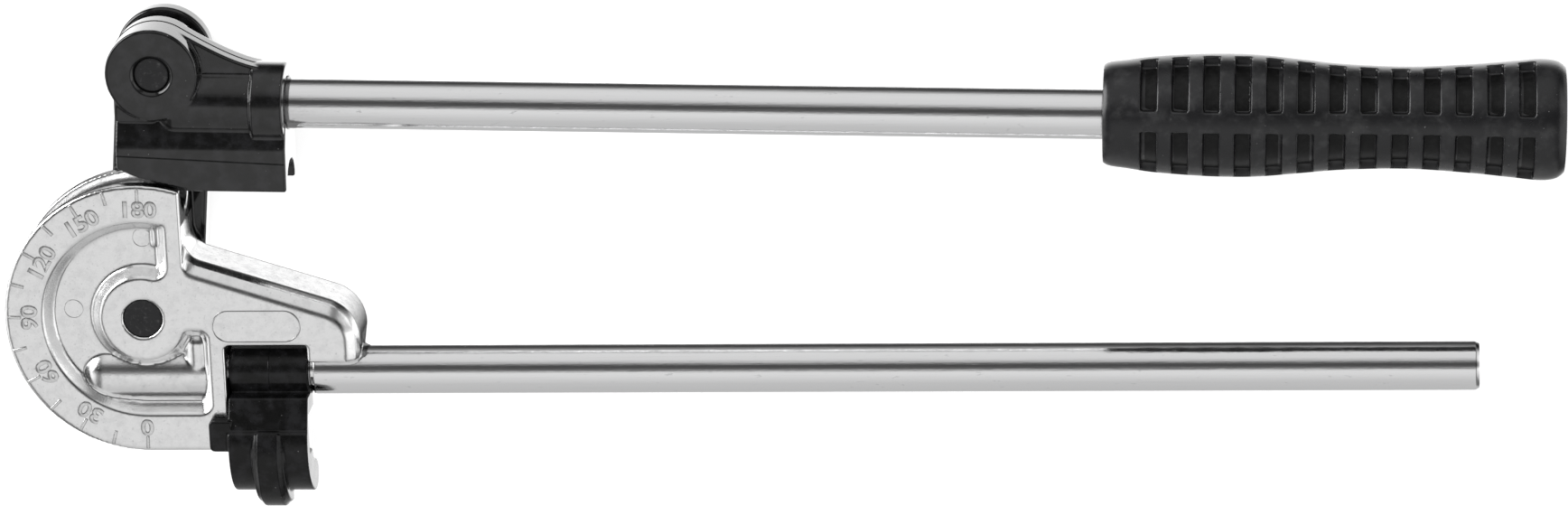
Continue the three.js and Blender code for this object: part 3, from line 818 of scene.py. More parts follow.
@dataclass(frozen=True)
class DarkSteel(Finish):
    """Blackened steel with turning marks."""

    dark: Triple = (0.02, 0.02, 0.021)
    bare: Triple = (0.1, 0.1, 0.1)

    def paint(self, graph: Graph) -> None:
        """Blotches where the blackening is thin.

        Args:
            graph: The material's nodes.
        """
        spot = graph.spot()
        blotch = graph.noise(spot, 0.9, 4.0, 0.7)
        grain = graph.noise(spot, 5.0, 2.0, 0.6)
        graph.surface(
            Base_Color=graph.mix(blotch.between(0.5, 0.8) * 0.7, self.dark, self.bare),
            Metallic=0.4,
            Roughness=0.34 + 0.3 * blotch,
            Normal=graph.bump(grain, 0.04, 0.4),
        )


@dataclass(frozen=True)
class GroundMetal(Finish):
    """Plain ground metal, such as a washer, a spring pin or a bearing bush."""

    bright: Triple
    stained: Triple

    def paint(self, graph: Graph) -> None:
        """Stains and a ground grain.

        Args:
            graph: The material's nodes.
        """
        spot = graph.spot()
        stain = graph.noise(spot, 0.7, 4.0, 0.6)
        grain = graph.noise(graph.spot((1, 0.15, 1)), 6.0, 2.0, 0.6)
        graph.surface(
            Base_Color=graph.mix(stain.between(0.42, 0.7), self.bright, self.stained),
            Metallic=1.0,
            Roughness=0.24 + 0.2 * grain + 0.1 * stain,
            Normal=graph.bump(grain, 0.02, 0.4),
        )


@dataclass(frozen=True)
class Rubber(Finish):
    """Satin black moulded grip."""

    black: Triple = (0.009, 0.009, 0.01)
    scuffed: Triple = (0.03, 0.03, 0.031)
    dust: Triple = (0.2, 0.2, 0.2)

    def paint(self, graph: Graph) -> None:
        """Scuffs, a moulded grain and dust.

        Args:
            graph: The material's nodes.
        """
        spot = graph.spot()
        scuff = graph.noise(spot, 0.25, 5.0, 0.65)
        grain = graph.noise(spot, 3.2, 2.0, 0.5)
        dust = graph.noise(spot, 1.9, 0.0).between(0.85, 0.9)
        base = graph.mix(scuff.between(0.45, 0.75), self.black, self.scuffed)
        graph.surface(
            Base_Color=graph.mix(dust * 0.7, base, self.dust),
            Metallic=0.0,
            Roughness=0.2 + 0.2 * scuff,
            Normal=graph.bump(0.3 * grain + scuff, 0.03, 0.4),
        )


@dataclass(frozen=True)
class PaintedShade(Finish):
    """Painted shade: the deep black put on a parting line and on a slot's floor, where shade falls."""

    black: Triple = (0.003, 0.003, 0.003)
    grey: Triple = (0.008, 0.008, 0.008)
    sheen: float = 0.5

    def paint(self, graph: Graph) -> None:
        """Uneven black of painted shade.

        Args:
            graph: The material's nodes.
        """
        cloud = graph.noise(graph.spot(), 0.6, 3.0, 0.6)
        graph.surface(
            Base_Color=graph.mix(cloud.between(0.4, 0.65), self.black, self.grey),
            Metallic=0.0,
            Roughness=self.sheen + 0.2 * cloud,
            Specular_IOR_Level=0.25,
        )


ALUMINIUM = CastMetal("bright_cast_aluminium", Slot.ALUMINIUM)
# Painted shade: the raised ticks and numbers are painted darker than the face round them, standing in for the
# shade at their edges
SHADED_MARKS = CastMetal("shaded_marks_aluminium", Slot.ALUMINIUM, (0.85, 0.85, 0.85), (0.62, 0.62, 0.62))
PLATED = Plating("bright_plating", Slot.PLATED)
BLACK = Coating("black_coating", Slot.BLACK)
LATCH_BLACK = Coating("satin_black_coating", Slot.BLACK, shine=0.12, reflection=0.26, coat=0.0)
DARK = DarkSteel("blackened_steel", Slot.DARK)
SPRING = GroundMetal("ground_spring_steel", Slot.SPRING, (0.5, 0.5, 0.5), (0.32, 0.32, 0.33))
BRONZE = GroundMetal("sintered_bronze", Slot.BRONZE, (0.6, 0.42, 0.2), (0.42, 0.28, 0.13))
RUBBER = Rubber("moulded_rubber", Slot.RUBBER)
# Painted shade: near-black for the parting lines and for the floors of the grip's slots
PARTING_SHADE = PaintedShade("parting_line", Slot.BLACK)
# Painted shade on the floors of the grip's slots
SLOT_SHADE = PaintedShade("slot_floor", Slot.RUBBER, sheen=0.3)


# Placing

# Edges that turn by less than this look smooth, on turned pieces and on castings
CRISP = 40.0
SOFT = 60.0


@dataclass(frozen=True)
class Station:
    """Where a group of pieces is set down, and the body that it rides on."""

    body: Body
    place: Matrix

    def set_down(
        self, piece: Piece, finish: Finish, replaces: Sequence[str] = (), smooth: float = CRISP
    ) -> Piece:
        """Finishes a piece modelled in millimetres.

        Args:
            piece: The piece, about this station's own origin.
            finish: Its finish.
            replaces: The solids that it stands for.
            smooth: Edges sharper than this stay sharp.

        Returns:
            The piece, in the frame.
        """
        moved(piece, Matrix.Scale(MILLIMETRE, 4), self.place)
        piece.data.materials.clear()
        piece.data.materials.append(finish.material())
        choose(piece)
        bpy.ops.object.shade_smooth_by_angle(angle=math.radians(smooth))
        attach(piece, self.body.value)
        if replaces:
            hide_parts(*replaces)
        LOG.info("%s: %d faces on %s", piece.name, len(piece.data.polygons), self.body.value)
        return piece


def joint_place(name: str) -> Vector:
    """The place of a joint of the record."""
    return next(Vector(joint["pos_m"]) for joint in frame["joints"] if joint["name"] == name)


PIVOT = joint_place("link_swing")
HUB = joint_place("lever_swing")
LEVER_TURN = math.radians(-1.23)
AT_PIVOT = Matrix.Translation(PIVOT)
AT_HUB = Matrix.Translation(HUB) @ Matrix.Rotation(LEVER_TURN, 4, "Z")
ON_FORMER = Station(Body.FORMER, AT_PIVOT)
ON_HOOK = Station(Body.HOOK, AT_PIVOT)
ON_LINK = Station(Body.LINK, AT_PIVOT)
ON_LEVER = Station(Body.LEVER, AT_HUB)


# Sub-assemblies

# Half the former's thickness, the radius of both handles and the height of the lower one from the pivot
HALF = 8.25
HANDLE_RADIUS = 6.0
LEVER_Y = -15.16
# How far the upper handle lies under the hub
SOCKET_DROP = 8.4


@dataclass
class Former:
    """The grooved casting with its scale."""

    edge: float = 0.45
    bend_radius: float = 32.0
    groove_radius: float = 5.1
    flange_radius: float = 32.7
    flat_x: float = 10.3
    foot_end: float = 35.0
    arm_end: float = 50.6
    arm_lean: float = 0.7
    arm_top: Point = (28.0, 8.6)
    arm_slope: float = 17.8
    arm_root: float = 22.4
    arm_fillet: float = 5.0
    arm_nose: float = 10.0
    arm_bottom: float = -11.1
    rim_width: float = 3.1
    rim_depth: float = 2.7
    rim_top_edge: float = 0.95
    rim_foot_edge: float = 1.15
    pocket_radius: float = 23.8
    pocket_depth: float = 3.2
    pocket_draft: float = 2.4
    pocket_upper_x: float = 6.3
    pocket_right_x: float = 15.2
    pocket_right_top: float = -2.7
    pocket_corner: float = 2.7
    boss_radius: float = 10.0
    rod_boss_radius: float = 7.4
    rod_boss_start: float = -17.4
    rod_boss_end: float = 17.2
    latch_start: float = 18.9
    latch_end: float = 38.3
    latch_room_radius: float = 6.4
    latch_room_top: float = -6.95
    latch_room_bottom: float = -24.4
    latch_room_back: float = 0.2
    spigot_hole: float = 4.1
    spigot_hole_start: float = -12.2
    handle_hole: float = 6.1
    handle_hole_start: float = 38.95
    pin_hole: float = 4.55
    spring_pin: Triple = (9.0, 1.6, 5.25)
    tick_length: float = 3.3
    tick_width: float = 0.8
    tick_height: float = 0.3
    tick_inset: float = 0.6
    tick_edge: float = 0.24
    scale_turn: float = -1.1
    scale_step: int = 15
    scale_end: int = 180
    number_radius: float = 26.7
    number_size: float = 5.3
    number_width: float = 1.12
    number_weight: float = 0.05
    number_rise: float = 0.1
    number_edge: float = 0.16
    number_step: int = 30
    plaque: Point = (26.8, -1.93)
    plaque_length: float = 20.7
    plaque_width: float = 7.6
    plaque_line: float = 0.2
    ejector_spots: tuple[Point, ...] = ((0.5, 19.1), (-16.8, 1.6), (7.5, -15.3))
    ejector_radius: float = 2.2
    ejector_line: float = 0.12
    ejector_sink: float = 0.04
    lump: Triple = (12.0, -7.3, 3.8)
    lump_radius: float = 3.3
    lump_length: float = 7.0
    stop: tuple[float, float, float, float] = (3.2, 17.3, 6.0, 22.5)
    stop_depth: float = 2.2
    pocket_fillet: float = 3.0
    grain: float = 0.435
    passes: int = 3

    def arm_top_at(self, x: float) -> float:
        """Height of the arm's sloping top edge."""
        return self.arm_top[1] - (x - self.arm_top[0]) * math.tan(math.radians(self.arm_slope))

    def arm_outline(self, bottom: float) -> list[Point]:
        """The arm's outline down to a given height.

        Args:
            bottom: Height of its lower edge.

        Returns:
            Points in X and Y.
        """
        return rounded(
            [
                (0, bottom),
                (self.arm_end - self.arm_lean, bottom),
                (self.arm_end, bottom + self.arm_nose / 2),
                (self.arm_end, self.arm_top_at(self.arm_end), self.arm_nose),
                (self.flat_x, self.arm_top_at(self.flat_x), self.arm_fillet),
                (self.flat_x, self.arm_root),
                (0, self.arm_root),
            ]
        )

    def wheel(self) -> Piece:
        """The wheel, cut off at its flat.

        Returns:
            The piece.
        """
        reach = self.flange_radius + PAST
        beyond = block((self.flat_x, -reach, -HALF - PAST), (reach, reach, HALF + PAST))
        profile = pin_profile(self.flange_radius, -HALF, HALF, self.edge)
        return cut(turned("former_casting", profile, steps=288), beyond)

    def groove(self) -> Piece:
        """The tube's path round the wheel and along the foot.

        Returns:
            The piece to cut.
        """
        start = math.degrees(math.acos((self.flat_x + 2 * PAST) / self.bend_radius))
        circle = arc((self.bend_radius, 0), self.groove_radius, 0, 360, step=5)[:-1]
        tool = turned("groove", circle, steps=180, angle=270 - start)
        moved(tool, Matrix.Rotation(math.radians(start), 4, "Z"))
        end = self.foot_end + PAST
        straight = cylinder_x(self.groove_radius, -NEAR, end, -self.bend_radius, steps=72)
        return joined(tool, straight)

    def foot(self) -> Piece:
        """The foot, which carries the straight part of the groove.

        Returns:
            The piece.
        """
        low = (0, -self.flange_radius, -HALF)
        foot = block(low, (self.foot_end, self.arm_bottom + 2 * PAST, HALF))
        return rounded_edges(foot, self.edge)

    def arm(self) -> Piece:
        """The arm, whose top edge slopes down to the face.

        Returns:
            The piece.
        """
        high = HALF - self.rim_depth
        rim = prism("rim", self.arm_outline(self.arm_bottom - self.rim_width), 0, high)
        select_where(rim, "FACE", lambda p: p.z > high - NEAR)
        with editing(rim, "FACE"):
            bpy.ops.mesh.inset(thickness=self.rim_width, depth=self.rim_depth, use_even_offset=True)
        bevelled(rim, lambda p: p.z > HALF - NEAR, self.rim_top_edge, segments=8)
        bevelled(rim, lambda p: abs(p.z - high) < NEAR, self.rim_foot_edge, segments=1)
        below = (-PAST, self.arm_bottom - self.rim_width - PAST, -PAST)
        cut(rim, block(below, (self.arm_end + PAST, self.arm_bottom, HALF + PAST)))
        body = rounded_edges(prism("arm", self.arm_outline(self.arm_bottom), -HALF, PAST), self.edge)
        start = (self.foot_end - 2 * PAST, LEVER_Y - HANDLE_RADIUS - self.edge, -HALF)
        end = (self.arm_end - self.arm_lean, self.arm_bottom + 2 * PAST, 0)
        return joined(body, rim, rounded_edges(block(start, end), self.edge))

    def pocket(self) -> Piece:
        """The crescent pocket round the pivot, in the front face.

        Returns:
            The piece to cut.
        """
        corner = self.pocket_corner
        start = math.degrees(math.acos(self.pocket_upper_x / self.pocket_radius))
        inside = self.pocket_right_x - corner
        boss = self.boss_radius
        fillet = self.pocket_fillet
        fillet_x = self.pocket_upper_x - fillet
        fillet_y = math.sqrt((boss + fillet) ** 2 - fillet_x**2)
        fillet_angle = math.degrees(math.atan2(fillet_y, fillet_x))
        boss_start = math.degrees(math.asin(self.pocket_right_top / boss))
        outline = [
            *arc((0, 0), self.pocket_radius, start, 270, step=2),
            *arc((inside, corner - self.pocket_radius), corner, -90, 0, step=6),
            *arc((inside, self.pocket_right_top - corner), corner, 0, 90, step=6),
            *arc((0, 0), boss, boss_start, fillet_angle - 360),
            *arc((fillet_x, fillet_y), fillet, fillet_angle - 180, 0, step=6)[1:],
        ]
        tool = prism("pocket", outline, HALF, HALF + PAST)
        select_where(tool, "FACE", lambda p: p.z < HALF + NEAR)
        with editing(tool, "FACE"):
            bpy.ops.mesh.inset(thickness=self.pocket_draft, depth=self.pocket_depth, use_even_offset=True)
        return tool

    def rod_boss(self) -> Piece:
        """The round-ended boss over the lower handle's spigot.

        Returns:
            The piece.
        """
        radius = self.rod_boss_radius
        dome = arc((0, self.rod_boss_start + radius), radius, -90, 0, step=5)
        profile = [*dome, (radius, self.rod_boss_end), (0, self.rod_boss_end)]
        return along_x(turned("rod_boss", profile), LEVER_Y)

    def swellings(self) -> list[Piece]:
        """The lump in the pocket's right end and the small block in its upper end.

        Returns:
            The pieces to join.
        """
        radius = self.lump_radius
        lump = turned("lump", arc((0, 0), radius, -90, 90, step=6), steps=48)
        ridge = turned("ridge", pin_profile(radius, 0, self.lump_length), steps=48)
        joined(lump, moved(ridge, Matrix.Rotation(math.radians(90), 4, "X")))
        moved(lump, Matrix.Translation(self.lump))
        low_x, low_y, high_x, high_y = self.stop
        floor = HALF - self.pocket_depth
        return [lump, block((low_x, low_y, floor - PAST), (high_x, high_y, HALF - self.stop_depth))]

    def latch_room(self) -> Piece:
        """Room for the latch round its barrel and in front of it.

        Returns:
            The piece to cut.
        """
        low = (self.latch_start, self.latch_room_bottom, self.latch_room_back)
        front = block(low, (self.latch_end, self.latch_room_top, HALF + PAST))
        barrel = cylinder_x(self.latch_room_radius, self.latch_start, self.latch_end, LEVER_Y)
        return joined(barrel, front)

    def casting(self) -> Piece:
        """The whole casting.

        Returns:
            The piece.
        """
        back = Matrix.Rotation(math.pi, 4, "X") @ Matrix.Scale(-1, 4, (0, 1, 0))
        rear_pocket = tidy(moved(self.pocket(), back))
        body = joined(self.wheel(), self.foot(), self.arm())
        cut(body, self.groove(), self.pocket(), rear_pocket)
        joined(body, self.rod_boss(), *self.swellings())
        reach = HALF + PAST
        cut(
            body,
            self.latch_room(),
            turned("pin_hole", pin_profile(self.pin_hole, -reach, reach)),
            cylinder_x(self.spigot_hole, self.spigot_hole_start, self.handle_hole_start + PAST, LEVER_Y),
            cylinder_x(self.handle_hole, self.handle_hole_start, self.arm_end + PAST, LEVER_Y),
            spring_pin_hole(self.spring_pin, LEVER_Y),
        )
        return cast(body, self.grain, self.passes)

    def around(self, angle: float) -> Matrix:
        """Turns what stands at the top of the scale to its angle from the foot."""
        return Matrix.Rotation(math.radians(180 + self.scale_turn - angle), 4, "Z")

    def tick(self, angle: int) -> Piece:
        """One raised mark, at its place on the scale.

        Args:
            angle: The angle that it marks.

        Returns:
            The mark.
        """
        outer = self.flange_radius - self.tick_inset
        half = self.tick_width / 2
        top = HALF + self.tick_height
        mark = block((-half, outer - self.tick_length, HALF - self.tick_height), (half, outer, top))
        bevelled(mark, lambda p: p.z > top - NEAR, self.tick_edge, segments=3)
        return moved(mark, self.around(angle))

    def number(self, angle: int) -> Piece:
        """One raised number, at its place on the scale.

        Args:
            angle: The angle that it gives.

        Returns:
            The number.
        """
        text = bpy.data.curves.new("number", "FONT")
        text.body = str(angle)
        text.size = self.number_size
        text.align_x = text.align_y = "CENTER"
        text.offset = self.number_weight
        text.extrude = self.number_rise
        text.bevel_depth = self.number_edge
        text.bevel_resolution = 1
        place = Matrix.Translation((0, self.number_radius, HALF))
        wider = Matrix.Scale(self.number_width, 4, (1, 0, 0))
        return moved(meshed("number", text), wider, place, self.around(angle))

    def scale(self, name: str, mark: Callable[[int], Piece], step: int) -> Piece:
        """All marks or all numbers of the scale.

        Args:
            name: Name of the piece.
            mark: Makes the mark of an angle.
            step: Angle from one mark to the next.

        Returns:
            The piece.
        """
        return merged(name, [mark(angle) for angle in range(0, self.scale_end + 1, step)])

    def plaque_rim(self) -> Piece:
        """The raised line round the bare plaque.

        Returns:
            The piece.
        """
        x, y = self.plaque
        radius = self.plaque_width / 2
        reach = self.plaque_length / 2 - radius
        right = arc((x + reach, y), radius, -90, 90, step=10)
        left = arc((x - reach, y), radius, 90, 270, step=10)
        return wire("plaque_rim", [(*point, HALF) for point in right + left], self.plaque_line)

    def ejector_mark(self, spot: Point) -> Piece:
        """The circle left by an ejector pin on the pocket's floor.

        Args:
            spot: The circle's middle.

        Returns:
            The circle.
        """
        floor = HALF - self.pocket_depth - self.ejector_sink
        circle = arc(spot, self.ejector_radius, 0, 360, step=10)[:-1]
        return wire("mark", [(*point, floor) for point in circle], self.ejector_line)

    def build(self) -> None:
        """Models and sets down the casting and its marks."""
        ON_FORMER.set_down(self.casting(), ALUMINIUM, ["former"], SOFT)
        ON_FORMER.set_down(self.scale("scale_ticks", self.tick, self.scale_step), SHADED_MARKS)
        ON_FORMER.set_down(self.scale("scale_numbers", self.number, self.number_step), SHADED_MARKS)
        ON_FORMER.set_down(self.plaque_rim(), ALUMINIUM)
        ejector_marks = merged("ejector_marks", [self.ejector_mark(spot) for spot in self.ejector_spots])
        ON_FORMER.set_down(ejector_marks, ALUMINIUM)


@dataclass
class Handles:
    """The two plated tubes and the lower one's plug."""

    wall: float = 1.5
    lower_end: float = 311.5
    lower_edge: float = 0.9
    shoulder: float = 39.2
    spigot_radius: float = 4.0
    spigot_start: float = -12.0
    plug_length: float = 7.0
    upper_start: float = 11.4
    upper_end: float = 318.0
    fine_edge: float = 0.25
    plug_gap: float = 0.1
    plug_edge: float = 0.4

    def lower_tube(self) -> Piece:
        """The lower tube with its spigot.

        Returns:
            The piece.
        """
        bore = HANDLE_RADIUS - self.wall
        spigot_bore = self.spigot_radius - self.wall
        edge = self.lower_edge
        profile = rounded(
            [
                (spigot_bore, self.spigot_start),
                (self.spigot_radius, self.spigot_start, self.fine_edge),
                (self.spigot_radius, self.shoulder),
                (HANDLE_RADIUS, self.shoulder, self.fine_edge),
                (HANDLE_RADIUS, self.lower_end - edge, edge),
                (HANDLE_RADIUS - edge / 2, self.lower_end, self.fine_edge / 2),
                (bore, self.lower_end),
                (bore, self.shoulder + HANDLE_RADIUS),
                (spigot_bore, self.shoulder + bore),
            ],
            step=15,
        )
        return along_x(turned("lower_tube", profile), LEVER_Y)

    def plug(self) -> Piece:
        """The plug in the lower tube's end.

        Returns:
            The piece.
        """
        radius = HANDLE_RADIUS - self.wall - self.plug_gap
        profile = pin_profile(radius, self.lower_end - self.plug_length, self.lower_end, self.plug_edge)
        return along_x(turned("lower_plug", profile, steps=96), LEVER_Y)

    def upper_tube(self) -> Piece:
        """The upper tube.

        Returns:
            The piece.
        """
        bore = HANDLE_RADIUS - self.wall
        profile = ring_profile(bore, HANDLE_RADIUS, self.upper_start, self.upper_end, self.fine_edge)
        return along_x(turned("upper_tube", profile), -SOCKET_DROP)

    def build(self) -> None:
        """Models and sets down the tubes."""
        ON_FORMER.set_down(self.lower_tube(), PLATED, ["lower_handle"])
        ON_FORMER.set_down(self.plug(), PLATED, ["lower_handle_plug"])
        ON_LEVER.set_down(self.upper_tube(), PLATED, ["upper_handle"])


@dataclass
class Latch:
    """The hook that holds the tube against the former."""

    start: float = 19.2
    width: float = 18.8
    barrel_radius: float = 6.1
    tube_y: float = -32.0
    seat_gap: float = 0.3
    top: Point = (-19.6, 8.4)
    neck_y: float = -24.1
    neck_back: float = 0.5
    inner_radius: float = 5.3
    lobe_radius: float = 12.8
    lobe_start: float = 67.0
    lobe_end: float = 168.5
    flange_end: float = -33.0
    rib_width: float = 5.0
    rib_radius: float = 14.58
    rib_drop: float = 2.1
    rib_root: float = 1.3
    rib_start: float = 60.0
    rib_end: float = 172.0
    tab_width: float = 4.6
    tab_top: float = -24.3
    tab_bottom: float = -32.0
    tab_front: float = 11.6
    tab_radius: float = 1.2
    edge: float = 0.8
    barrel_edge: float = 0.4
    rib_edge: float = 0.9
    tab_edge: float = 0.5
    spigot_hole: float = 4.08
    # How much wider and lower each layer of the rib's foot is
    foot_layers: tuple[Point, ...] = ((0.0, 0.0), (0.8, 0.6), (1.6, 0.95), (2.6, 1.25))
    crease_radius: float = 0.45
    crease_rise: float = 0.15
    seam_radius: float = 0.14
    seam_start: float = 15.0
    seam_end: float = 125.0
    grain: float = 0.25
    passes: int = 5

    def hook_section(self) -> list[Point]:
        """The hook's section: a plate before the flange, then a round hook under the tube.

        Returns:
            Points in Y and Z.
        """
        centre = (self.tube_y, 0)
        lip = (self.lobe_radius - self.inner_radius) / 2
        angle = math.radians(self.lobe_end)
        reach = self.inner_radius + lip
        lip_centre = (self.tube_y + reach * math.cos(angle), reach * math.sin(angle))
        inner_end = math.degrees(math.acos((self.flange_end - self.tube_y) / self.inner_radius))
        wall = HALF + 2 * self.seat_gap
        return [
            (self.top[0], self.neck_back),
            self.top,
            *arc(centre, self.lobe_radius, self.lobe_start, self.lobe_end),
            *arc(lip_centre, lip, self.lobe_end, self.lobe_end + 180, step=8)[1:-1],
            *arc(centre, self.inner_radius, self.lobe_end, inner_end),
            (self.flange_end, wall),
            (self.neck_y, wall),
            (self.neck_y, self.neck_back),
        ]

    def rib_section(self, drop: float) -> list[Point]:
        """The section of one layer of the rib, a crescent this much lower than the rib itself.

        Args:
            drop: How much lower than the rib the layer is.

        Returns:
            Points in Y and Z.
        """
        root = self.lobe_radius - self.rib_root
        return [
            *arc((self.tube_y - self.rib_drop, 0), self.rib_radius - drop, self.rib_start, self.rib_end),
            *arc((self.tube_y, 0), root, self.rib_end, self.rib_start),
        ]

    def rib(self) -> list[Piece]:
        """The rib and the layers that widen its foot.

        Returns:
            The layers to join.
        """
        middle = self.start + self.width / 2
        layers = []
        for wider, lower in self.foot_layers:
            half = (self.rib_width + wider) / 2
            layer = drawn_along_x("rib", self.rib_section(lower), middle - half, middle + half)
            layers.append(rounded_edges(layer, self.rib_edge) if wider == 0 else layer)
        return layers

    def crease(self) -> Piece:
        """The crease between the plate and the round part.

        Returns:
            The piece to cut.
        """
        angle = math.radians(self.lobe_start)
        y = self.tube_y + self.lobe_radius * math.cos(angle)
        z = self.lobe_radius * math.sin(angle)
        profile = pin_profile(self.crease_radius, self.start - PAST, self.start + self.width + PAST)
        return along_x(turned("crease", profile, steps=24), y, z + self.crease_rise)

    def seam(self) -> Piece:
        """The mould seam down the middle of the barrel.

        Returns:
            The piece.
        """
        middle = self.start + self.width / 2
        barrel = arc((LEVER_Y, 0), self.barrel_radius, self.seam_start, self.seam_end, step=5)
        return wire("latch_seam", [(middle, y, z) for y, z in barrel], self.seam_radius, closed=False)

    def casting(self) -> Piece:
        """The whole casting.

        Returns:
            The piece.
        """
        end = self.start + self.width
        profile = pin_profile(self.barrel_radius, self.start, end, self.barrel_edge)
        barrel = along_x(turned("latch_casting", profile), LEVER_Y)
        hook = rounded_edges(drawn_along_x("hook", self.hook_section(), self.start, end), self.edge)
        tab_corners = [
            (self.start - self.tab_width, self.tab_top, self.tab_radius),
            (self.start - self.tab_width, self.tab_bottom, self.tab_radius),
            (self.start + self.edge, self.tab_bottom),
            (self.start + self.edge, self.tab_top),
        ]
        tab = prism("tab", rounded(tab_corners), HALF + self.seat_gap, self.tab_front)
        body = joined(barrel, hook, *self.rib(), rounded_edges(tab, self.tab_edge))
        cut(body, self.crease(), cylinder_x(self.spigot_hole, self.start - PAST, end + PAST, LEVER_Y))
        return cast(body, self.grain, self.passes)

    def build(self) -> None:
        """Models and sets down the latch."""
        ON_HOOK.set_down(self.casting(), LATCH_BLACK, ["latch"], SOFT)
        ON_HOOK.set_down(self.seam(), LATCH_BLACK)


@dataclass
class Link:
    """The black arm from the pivot to the hub."""

    radius: float = 11.35
    back: float = -14.35
    front: float = -9.35
    boss_radius: float = 8.3
    boss_top: float = -6.2
    edge: float = 0.8
    pivot_bore: float = 6.08
    hub_bore: float = 5.58
    pivot_counterbore: float = 7.8
    hub_counterbore: float = 7.3
    counterbore_top: float = -11.95
    grain: float = 0.35
    passes: int = 3

    def eye(self, bore: float, counterbore: float, place: Vector) -> Piece:
        """The stepped hole through one eye.

        Args:
            bore: Radius of the hole.
            counterbore: Radius of its wider part behind.
            place: Middle of the eye.

        Returns:
            The piece to cut.
        """
        behind = [(counterbore, self.back - PAST), (counterbore, self.counterbore_top)]
        profile = on_axis(*behind, (bore, self.counterbore_top), (bore, self.boss_top + PAST))
        return moved(turned("eye", profile), Matrix.Translation(place))

    def casting(self) -> Piece:
        """The bar, its boss and its two eyes.

        Returns:
            The piece.
        """
        hub = (HUB - PIVOT) / MILLIMETRE
        side = math.degrees(math.atan2(hub.y, hub.x)) + 90
        lower = arc((0, 0), self.radius, side, side + 180)
        outline = [*lower, *arc((hub.x, hub.y), self.radius, side + 180, side + 360)]
        bar = rounded_edges(prism("link_casting", outline, self.back, self.front), self.edge, segments=4)
        boss = turned("boss", pin_profile(self.boss_radius, self.front - PAST, self.boss_top))
        joined(bar, moved(boss, Matrix.Translation(hub)))
        cut(bar, self.eye(self.pivot_bore, self.pivot_counterbore, Vector()))
        cut(bar, self.eye(self.hub_bore, self.hub_counterbore, hub))
        return cast(bar, self.grain, self.passes)

    def build(self) -> None:
        """Models and sets down the link."""
        ON_LINK.set_down(self.casting(), BLACK, ["link_arm"], SOFT)


